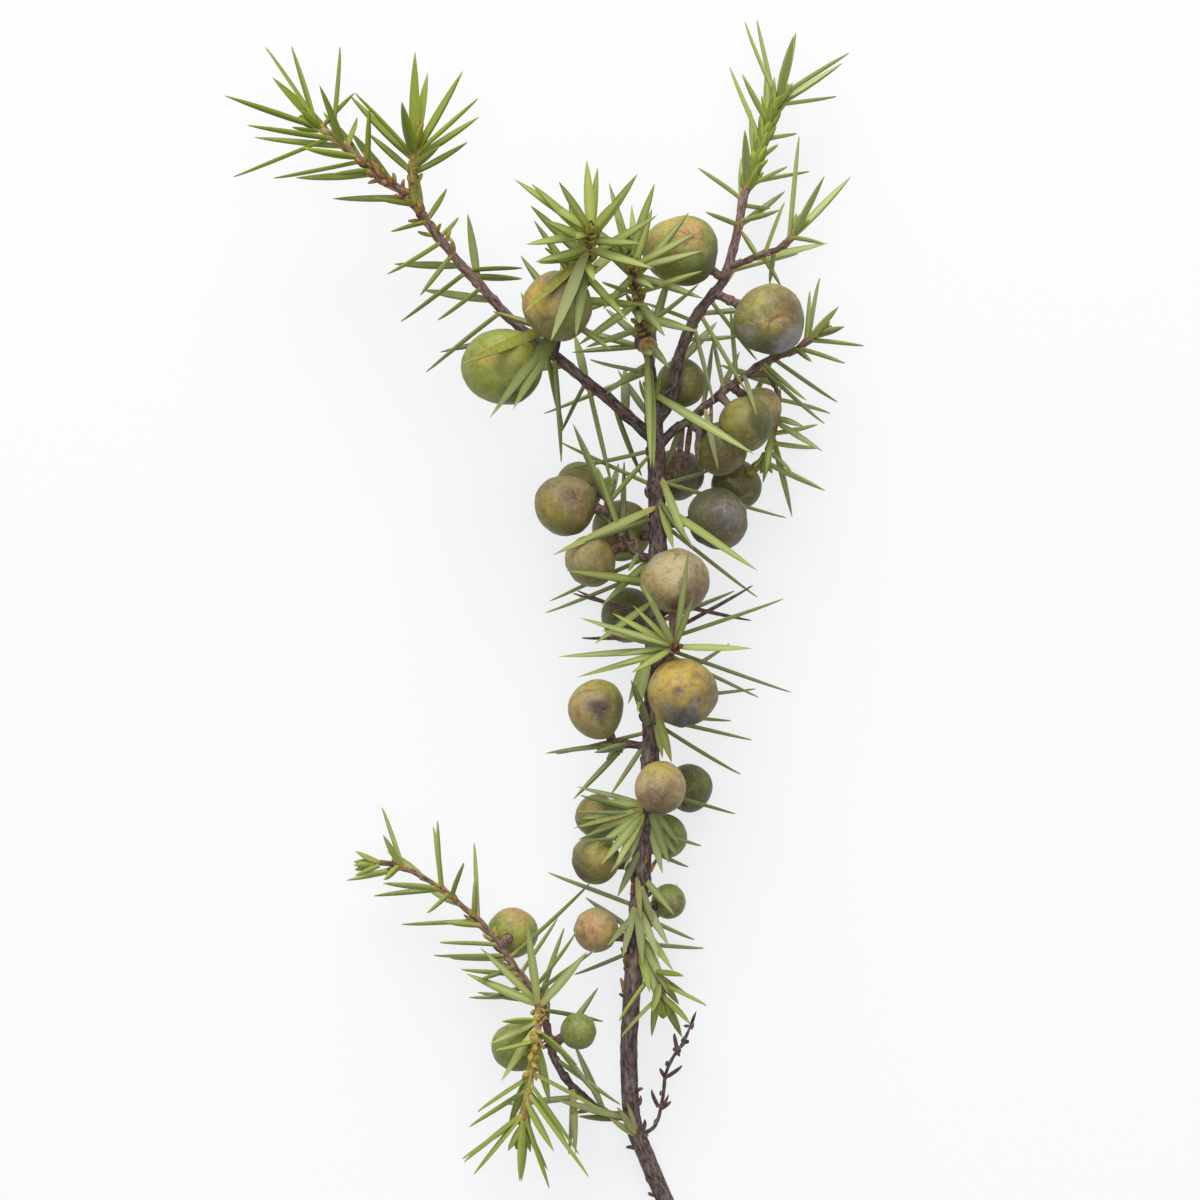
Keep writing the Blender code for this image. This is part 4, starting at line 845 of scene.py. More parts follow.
# Three lobes: the turn from one to the next, how far from a ridge it is level, and the heights between
# which the rise has a share of its full size
LOBE_TURN = 120
LOBE_LEVEL = 30
LOBE_BANDS = ((-0.5, 0.1, 0.4), (0.1, 0.95, 1.0))
# How many degrees off a column a point may be, how far in height off a level, and how the end narrows
ON_COLUMN = 2
ON_LEVEL = 0.02
TAPER_CURVE = 1.5
# The mark where three scales meet at the tip, in degrees and as shares of the radius: its furrows and
# their small middle, and the points between them
SEAM_REACH = 0.5
SEAM_MIDDLE = 0.05
SEAM_WIDTH = 4
SEAM_FADE = 3
SEAM_DEPTH = 0.045
POINT_REACH = (0.3, 0.45)
POINT_HEIGHT = 0.06
# The dimple round the stalk
STALK_DIMPLE = 0.06
DIMPLE_REACH = 0.3
# Farther than anything that is measured
FAR_OFF = 9.0


def off_ray(place, offset):
    """How many degrees a point is from the nearest of three rays about the upright."""
    angle = math.degrees(math.atan2(place.y, place.x)) - offset
    return abs((angle + LOBE_TURN / 2) % LOBE_TURN - LOBE_TURN / 2)


def off_ridge(place):
    """How many degrees a point is from the nearest lobe's ridge."""
    return off_ray(place, 0)


def off_furrow(place):
    """How many degrees a point is from the nearest furrow between lobes."""
    return off_ray(place, LOBE_TURN / 2)


def tip_share(place):
    """How far a point is from the upright, as a share of the radius, on the tip's half."""
    return math.hypot(place.x, place.y) / MM if place.z > 0 else FAR_OFF


def seam_tone(place):
    """How dark the mark at the tip is at a point: strongest in the middle and along the furrows."""
    share = tip_share(place)
    if share >= SEAM_REACH:
        return 0.0
    return (1 - share / SEAM_REACH) * max(0.0, 1 - off_furrow(place) * share / SEAM_FADE)


def model_berry(name, lobe, taper):
    """A berry of 1 mm radius, tip up and stalk end down, with three lobes and a narrower stalk end."""
    bpy.ops.object.select_all(action="DESELECT")
    bpy.ops.mesh.primitive_uv_sphere_add(segments=BERRY_COLUMNS, ring_count=BERRY_LEVELS, radius=MM)
    made = bpy.context.object
    made.name = name
    bpy.ops.object.mode_set(mode="EDIT")
    bpy.ops.mesh.select_all(action="SELECT")
    bpy.ops.transform.resize(value=(1, 1, BERRY_FLATTENING))
    half_lobe = BERRY_COLUMNS // 6
    for column in range(half_lobe + 1):
        offset = column * 360 / BERRY_COLUMNS
        raised = 1 + lobe * (1 - offset / LOBE_LEVEL)
        for low, high, share in LOBE_BANDS:
            choose_points(made, lambda p: low < p.z / MM <= high
                          and abs(off_ridge(p) - offset) < ON_COLUMN)
            widen(1 + (raised - 1) * share)
    for level in range(1, BERRY_LEVELS // 2):
        height = math.sin(math.pi * level / BERRY_LEVELS) * BERRY_FLATTENING
        choose_points(made, lambda p: abs(p.z / MM + height) < ON_LEVEL)
        widen(1 - taper * height ** TAPER_CURVE)
    choose_points(made, lambda p: tip_share(p) < SEAM_REACH
                  and (off_furrow(p) < SEAM_WIDTH or tip_share(p) < SEAM_MIDDLE))
    widen(1 - SEAM_DEPTH, 1 - SEAM_DEPTH)
    nearest, farthest = POINT_REACH
    choose_points(made, lambda p: nearest < tip_share(p) < farthest and off_ridge(p) < SEAM_WIDTH)
    widen(1 + POINT_HEIGHT, 1 + POINT_HEIGHT)
    choose_points(made, lambda p: p.z < 0 and math.hypot(p.x, p.y) < DIMPLE_REACH * MM)
    bpy.ops.transform.translate(value=(0, 0, STALK_DIMPLE * MM))
    close_shape(made)
    refine(made, "SUBSURF", levels=1, render_levels=1)
    set_tone(made.data, "seam", [seam_tone(point.co) for point in made.data.vertices])
    return made


# Twigs, drawn out a short step at a time, with low swellings at the whorls and a flared foot
RING_STEP = 0.4
TWIG_ROUND = 12
STEM_ROUND = 16
KNOB = 0.12
KNOB_REACH = 0.45
ROOT_FLARE = 0.45
ROOT_FLARE_LENGTH = 1.2
# The bud at a twig's end, as (share of its length, share of the twig's radius)
BUD = [(0.15, 0.95), (0.45, 0.8), (0.8, 0.5), (1.05, 0.15)]
# The size and the height of the bark's lumps, in mm
BARK_LUMPS = (0.8, 0.16)
# The stem's cut end, in mm: how near its plane a point counts as on it, its rim, and the pale part
CUT_NEAR = 0.1
CUT_RIM = 0.2
CUT_DEPTH = 0.2
CUT_EDGE = 0.15
# How thick the bark looks at a twig's base and tip, as a share of its solid
USUAL_BREADTH = (0.8, 0.8)
BREADTH = {
    "main_stem": (0.82, 1.14), "right_hanging_shoot": (0.6, 0.6), "bare_twiglet": (0.52, 0.52),
    "low_twig": (0.68, 0.58), "right_low_branch": (0.7, 0.7), "right_side_shoot": (0.66, 0.66),
    "left_side_shoot": (0.95, 1.0),
}
KNOTS = {twig.name: whorl_stations(twig) if twig.leaves else [] for twig in TWIGS}


def bark_radius(twig, station):
    """A twig's radius with the swelling at each whorl and where it leaves its parent."""
    breadth = BREADTH.get(twig.name, USUAL_BREADTH)
    radius = twig_radius(twig, station) * blend(breadth, station / AXES[twig.name].length)
    nearest = min((abs(station - knot) for knot in KNOTS[twig.name]), default=FAR_OFF)
    radius *= 1 + KNOB * math.exp(-(nearest / KNOB_REACH) ** 2)
    if twig.parent:
        radius *= 1 + ROOT_FLARE * math.exp(-station / ROOT_FLARE_LENGTH)
    return radius


def model_wood(twig):
    """A twig's bark, drawn out ring by ring from inside its parent to the bud at its end."""
    axis = AXES[twig.name]
    stations = [*np.arange(0, axis.length, RING_STEP), axis.length]
    radii = [bark_radius(twig, station) for station in stations]
    centre, heading, side = axis.at(0)
    turn = facing(heading, side)
    made = start_outline("wood", row_place(centre), turn, radii[0] * MM,
                         TWIG_ROUND if twig.parent else STEM_ROUND)
    for station, before, radius in zip(stations[1:], radii, radii[1:]):
        after, heading, side = axis.at(station)
        next_turn = facing(heading, side)
        draw_out(row_place(after) - row_place(centre), row_place(after), radius / before)
        turn_chosen((next_turn @ turn.inverted()).to_quaternion(), row_place(after))
        centre, turn = after, next_turn
    reached, breadth = 0.0, 1.0
    for reach, share in BUD:
        end = row_place(centre + heading * reach * BUD_LENGTH)
        draw_out(heading * (reach - reached) * BUD_LENGTH * MM, end, share / breadth)
        reached, breadth = reach, share
    if twig.parent is None:
        start, heading, _ = axis.at(0)
        choose_points(made, lambda p: abs((p - row_place(start)).dot(heading)) < CUT_NEAR * MM)
        bpy.ops.mesh.inset(thickness=CUT_RIM * MM)
    close_shape(made)
    roughen(made, *BARK_LUMPS)
    return made


# A berry's stalk: how thick it is from its foot to the berry, and how far it runs into the berry, both
# as shares of a radius
STALK_ROUND = 8
STALK_SWELLS = (1.7, 1.15, 1.0, 1.15, 1.6)
STALK_SUNK = 0.1


def model_stalk(berry):
    """A berry's short stalk, thicker at both ends, from inside its twig to inside the berry."""
    root, centre = berry_root(berry), berry_place(berry)
    heading = (centre - root).normalized()
    end = centre - heading * berry.diameter / 2 * (BERRY_FLATTENING - STALK_SUNK)
    turn = facing(heading, heading.orthogonal().normalized())
    radius = STALK_RADIUS * STALK_SWELLS[0] * MM
    made = start_outline("stalk", row_place(root), turn, radius, STALK_ROUND)
    steps = len(STALK_SWELLS) - 1
    for step, (swell, after) in enumerate(zip(STALK_SWELLS, STALK_SWELLS[1:]), 1):
        draw_out((end - root) * MM / steps, row_place(root.lerp(end, step / steps)), after / swell)
    close_shape(made)
    return made


# The stump of a shoot that broke off: its twig, its place as seen from above, its heading, and its radius
# and length in mm
STUMP_TWIG, STUMP_PLACE = "leader_shoot", (4.95, 28.2)
STUMP_HEADING = Vector((0.16, -0.3, 1)).normalized()
STUMP_RADIUS, STUMP_LENGTH = 0.95, 2.0
STUMP_ROUND = 14
# As shares: how high its waist is, how far its foot and its rim flare, and the rim's breadth
STUMP_WAIST = 0.6
STUMP_FOOT_FLARE, STUMP_RIM_FLARE = 1.35, 1.12
STUMP_RIM = 0.3
# Its dry middle: how deep it lies in mm and how far it narrows, then its height, radius and tone
STUMP_HOLLOW, STUMP_NARROWED = 0.25, 0.8
STUMP_DRY_HEIGHT, STUMP_DRY_RADIUS, STUMP_DRY_TONE = 1.5, 0.62, 4.0
# The heights from which its side turns brown and its rim is pale, and how pale
STUMP_SIDE_HEIGHT = 0.9
STUMP_RIM_HEIGHT, STUMP_RIM_TONE = 1.9, 0.45


def stump_root():
    """The place inside its twig where the stump starts."""
    axis = AXES[STUMP_TWIG]
    return axis.points[axis.seen_at(*STUMP_PLACE)]


def model_stump():
    """The stump of a shoot that broke off, with a raised rim round its dry middle."""
    root, heading = stump_root(), STUMP_HEADING
    turn = facing(heading, heading.orthogonal().normalized())
    radius = STUMP_RADIUS * STUMP_FOOT_FLARE * MM
    made = start_outline("stump", row_place(root), turn, radius, STUMP_ROUND)
    waist = heading * STUMP_LENGTH * STUMP_WAIST
    end = row_place(root + heading * STUMP_LENGTH)
    draw_out(waist * MM, row_place(root + waist), 1 / STUMP_FOOT_FLARE)
    draw_out(heading * STUMP_LENGTH * (1 - STUMP_WAIST) * MM, end, STUMP_RIM_FLARE)
    bpy.ops.mesh.inset(thickness=STUMP_RADIUS * STUMP_RIM * MM)
    draw_out(heading * -STUMP_HOLLOW * MM, end, STUMP_NARROWED)
    close_shape(made)
    return made


# Finishes: a tone is a number or colour that changes over a surface, worked out by nodes


class Tone:
    """A number that varies over a surface. Sums on it add the nodes that work them out."""

    def __init__(self, finish, socket):
        self.finish, self.socket = finish, socket

    def worked(self, operation, first, second):
        """The tone that comes of working on two tones or numbers."""
        return self.finish.node("ShaderNodeMath", {"operation": operation}, {0: first, 1: second})

    def __add__(self, other):
        return self.worked("ADD", self, other)

    def __sub__(self, other):
        return self.worked("SUBTRACT", self, other)

    def __rsub__(self, other):
        return self.worked("SUBTRACT", other, self)

    def __mul__(self, other):
        return self.worked("MULTIPLY", self, other)

    __radd__ = __add__
    __rmul__ = __mul__

    def from_to(self, low, high):
        """0 up to low, 1 from high, and smooth between them."""
        return self.finish.node(
            "ShaderNodeMapRange", {"interpolation_type": "SMOOTHSTEP"},
            {"Value": self, "From Min": low, "From Max": high},
        )


class Finish:
    """One material, with its shader and the nodes that vary it."""

    def __init__(self, name, **uniform):
        self.material = bpy.data.materials.new(name)
        self.material.use_nodes = True
        self.tree = self.material.node_tree
        self.shader = self.tree.nodes["Principled BSDF"]
        for socket, value in uniform.items():
            self.shader.inputs[socket.replace("_", " ")].default_value = value

    def node(self, kind, settings=None, links=None, output=0):
        """Adds a node of a type, sets it, and fills its sockets with values or other tones."""
        made = self.tree.nodes.new(kind)
        for setting, value in (settings or {}).items():
            setattr(made, setting, value)
        for socket, value in (links or {}).items():
            if isinstance(value, Tone):
                self.tree.links.new(value.socket, made.inputs[socket])
            else:
                made.inputs[socket].default_value = value
        return Tone(self, made.outputs[output])

    def written(self, name, output="Fac"):
        """A tone that is written on the mesh's points."""
        return self.node("ShaderNodeAttribute", {"attribute_name": name}, output=output)

    def place(self):
        """Where each point is in the shape's own frame."""
        return self.node("ShaderNodeTexCoord", output="Object")

    def noise(self, size, where, detail=3.0, roughness=0.55, distortion=0.0):
        """Soft noise from 0 to 1 whose lumps are so many mm across."""
        return self.node("ShaderNodeTexNoise", None, {
            "Vector": where, "Scale": 1 / (size * MM), "Detail": detail, "Roughness": roughness,
            "Distortion": distortion,
        })

    def spots(self, gap, where, low, high):
        """1 on small round spots that lie so many mm apart, and 0 between them."""
        away = self.node("ShaderNodeTexVoronoi", None, {"Vector": where, "Scale": 1 / (gap * MM)})
        return 1 - away.from_to(low, high)

    def mixed(self, share, first, second):
        """A colour that is a share of the way from the first to the second."""
        return self.node("ShaderNodeMix", {"data_type": "RGBA"}, {0: share, 6: first, 7: second}, 2)

    def raised(self, height, depth):
        """Raises the surface by a tone times a depth in mm."""
        self.give("Normal", self.node("ShaderNodeBump", None, {"Height": height, "Distance": depth * MM}))

    def give(self, socket, tone):
        """Feeds a tone to one of the shader's sockets."""
        self.tree.links.new(tone.socket, self.shader.inputs[socket])


def paint(red, green, blue):
    """A colour as seen, each part from 0 to 255, as the light that it sends back."""
    seen = (red / 255, green / 255, blue / 255)
    return (*(s / 12.92 if s <= 0.04045 else ((s + 0.055) / 1.055) ** 2.4 for s in seen), 1.0)


def bark_finish():
    """Dark purple-brown bark with grey-pink flakes, redder and then green towards the young ends."""
    finish = Finish("juniper bark", Specular_IOR_Level=0.25)
    grain = finish.written("grain", "Vector")
    youth, foot, cut = (finish.written(name) for name in ("youth", "foot", "cut"))
    strands = finish.noise(0.26, grain, detail=4, roughness=0.6)
    flakes = finish.noise(1.1, grain, detail=4, roughness=0.65, distortion=0.8)
    rings = finish.noise(0.7, finish.place(), detail=3, roughness=0.6)
    old = finish.mixed(strands.from_to(0.38, 0.66), paint(62, 49, 48), paint(114, 96, 92))
    old = finish.mixed((flakes + rings * 0.3).from_to(0.6, 0.86) * 0.6, old, paint(156, 142, 136))
    young = finish.mixed(strands.from_to(0.3, 0.7), paint(78, 58, 58), paint(142, 116, 110))
    shoot = finish.mixed(strands.from_to(0.3, 0.7), paint(122, 126, 56), paint(168, 162, 90))
    colour = finish.mixed(youth.from_to(0.1, 0.6), old, young)
    colour = finish.mixed((youth + (rings - 0.5) * 0.5).from_to(0.75, 1.0), colour, shoot)
    tips = finish.mixed(rings.from_to(0.35, 0.65), paint(140, 88, 54), paint(196, 158, 86))
    colour = finish.mixed(foot * (0.08 + youth * 0.6), colour, tips)
    colour = finish.mixed(cut, colour, paint(206, 180, 140))
    finish.give("Base Color", colour)
    finish.raised(strands * 0.7 + flakes * 0.5, 0.16)
    finish.give("Roughness", 0.92 - strands * 0.3)
    return finish.material


def needle_finish():
    """Needles: bright edges, a pale channel above, a darker keel, greyer with age, brown when dead."""
    finish = Finish("juniper needle", Specular_IOR_Level=0.22)
    along, band, age, tint, chalk, dry = (
        finish.written(name) for name in ("along", "band", "age", "tint", "chalk", "dry")
    )
    streaks = finish.noise(0.5, finish.place(), detail=3, roughness=0.6)
    channel = band.from_to(0.25, 0.95) * along.from_to(0.04, 0.2) * (1 - along.from_to(0.86, 1.0))
    pale = (channel * 0.6 + 0.4) * chalk
    keel = (0 - band).from_to(0.1, 1.0)
    fresh = finish.mixed(tint, paint(104, 122, 28), paint(146, 154, 48))
    fresh = finish.mixed(keel * 0.7, fresh, paint(82, 98, 28))
    fresh = finish.mixed(pale, fresh, paint(184, 190, 126))
    aged = finish.mixed(tint, paint(98, 107, 62), paint(138, 142, 94))
    aged = finish.mixed(keel * 0.7, aged, paint(78, 88, 56))
    aged = finish.mixed(pale, aged, paint(178, 182, 142))
    colour = finish.mixed((age + streaks * 0.4 - 0.2).from_to(0.0, 1.0), fresh, aged)
    colour = finish.mixed(along.from_to(0.84, 1.0) * 0.35, colour, paint(176, 168, 100))
    colour = finish.mixed((1 - along.from_to(0.02, 0.12)) * 0.6, colour, paint(184, 156, 88))
    golden = finish.mixed(streaks.from_to(0.35, 0.65), paint(124, 100, 48), paint(184, 162, 76))
    russet = finish.mixed(streaks.from_to(0.35, 0.65), paint(108, 68, 54), paint(158, 112, 84))
    brown = finish.mixed(streaks.from_to(0.3, 0.7), paint(72, 54, 50), paint(120, 98, 84))
    colour = finish.mixed(dry.from_to(0.0, 0.3), colour, golden)
    colour = finish.mixed(dry.from_to(0.3, 0.6), colour, russet)
    colour = finish.mixed(dry.from_to(0.6, 1.0), colour, brown)
    finish.give("Base Color", colour)
    finish.give("Roughness", 0.45 + streaks * 0.2 + pale * 0.2)
    finish.raised(streaks + channel * 0.4, 0.03)
    return finish.material


def berry_finish():
    """Berry skin: the colours written on it, painted shade on the lower side among them, mottled, pitted
    with pale pores and dusted with bloom.
    """
    finish = Finish("juniper berry skin", Specular_IOR_Level=0.4)
    skin, bloom, seam = (
        finish.written("skin", "Color"), finish.written("bloom"), finish.written("seam")
    )
    place = finish.place()
    mottled = finish.written("mottled")
    mottle = finish.noise(1.5, place, detail=5, roughness=0.65, distortion=0.6)
    patches = finish.noise(2.4, place, detail=4, roughness=0.6, distortion=0.8)
    blotch = finish.noise(0.6, place, detail=4, roughness=0.65, distortion=0.6)
    fine = finish.noise(0.2, place, detail=2, roughness=0.6)
    colour = finish.mixed(mottle.from_to(0.44, 0.68) * 0.6 * mottled, skin, paint(112, 88, 60))
    colour = finish.mixed((1 - mottle).from_to(0.5, 0.68) * 0.4 * mottled, colour, paint(122, 130, 64))
    colour = finish.mixed(patches.from_to(0.52, 0.68) * 0.35 * mottled, colour, paint(182, 156, 96))
    colour = finish.mixed(blotch.from_to(0.5, 0.74) * 0.3 * mottled, colour, paint(196, 184, 128))
    colour = finish.mixed((1 - blotch).from_to(0.52, 0.72) * 0.5, colour, paint(84, 78, 50))
    colour = finish.mixed(finish.spots(0.8, place, 0.06, 0.18) * 0.15, colour, paint(200, 190, 150))
    colour = finish.mixed(fine.from_to(0.56, 0.76) * 0.35, colour, paint(92, 72, 56))
    frost = (bloom + (mottle - 0.5) * 0.8 + (blotch - 0.5) * 0.7).from_to(0.3, 1.0)
    colour = finish.mixed(frost * bloom.from_to(0.0, 0.35) * 0.75, colour, paint(150, 150, 150))
    colour = finish.mixed(seam * 0.7, colour, paint(88, 66, 52))
    finish.give("Base Color", colour)
    finish.give("Roughness", 0.42 + bloom * 0.25 + fine * 0.15)
    finish.raised(blotch * 0.8 + fine * 0.35, 0.12)
    return finish.material


# How old the needles are and how young the bark is, at each twig's base and at its tip, how pale the
# needles' channels are, their breadth, and the size and dryness of the bud's leaves
Tones = namedtuple("Tones", "age youth chalk breadth bud bud_dry", defaults=(0.4, 0.8, 0.8, 0.0))
TONES = {
    "main_stem": Tones((0.95, 0.6), (0.0, 0.1), 0.45, 0.72),
    "leader_shoot": Tones((0.6, 0.2), (0.05, 0.6), 0.65, 0.85),
    "left_branch": Tones((0.95, 0.0), (-0.15, 0.95), 0.08, 0.92),
    "left_side_shoot": Tones((0.1, 0.0), (1.0, 1.1), 0.08, 0.95, 0.9, 0.12),
    "left_front_shoot": Tones((0.45, 0.1), (0.1, 0.7), 0.45, 0.9, 0.8, 0.16),
    "right_branch": Tones((0.7, 0.0), (0.05, 0.8), 0.95, 0.8),
    "right_side_shoot": Tones((0.5, 0.1), (0.15, 0.6), 1.0, 0.7, 0.5),
    "right_low_branch": Tones((0.9, 0.4), (0.05, 0.5), 0.6, 0.62, 0.6, 0.3),
    "right_hanging_shoot": Tones((0.7, 0.3), (0.7, 1.0), 0.7, 0.65, 0.6),
    "front_spur": Tones((0.45, 0.2), (0.4, 0.8), 0.7, 0.62, 0.5, 0.7),
    "left_spur": Tones((0.7, 0.5), (0.1, 0.4), 0.5, 0.7, 0.6),
    # The low left spur's needles get an old, dark tone that also stands in for the shade that they lie
    # in: partly painted shade.
    "low_left_spur": Tones((0.95, 0.8), (0.0, 0.2), 0.3, 0.6, 0.5),
    "low_right_spur": Tones((0.35, 0.2), (0.2, 0.6), 0.4, 0.85, 0.5),
    "low_twig": Tones((0.8, 0.15), (0.0, 0.85), 0.65, 0.8),
    "low_front_shoot": Tones((0.35, 0.0), (0.74, 1.15), 0.45, 0.85),
    "bare_twiglet": Tones((1.0, 1.0), (0.0, 0.1)),
}

# Needles that have withered, by where their points are, and the share of the main stem's others
WITHERED = [(16.4, 1.5), (-2.5, 0.7), (-1.6, -4.4)]
WITHERED_REACH = 1.2
DRY_SHARE = 0.04

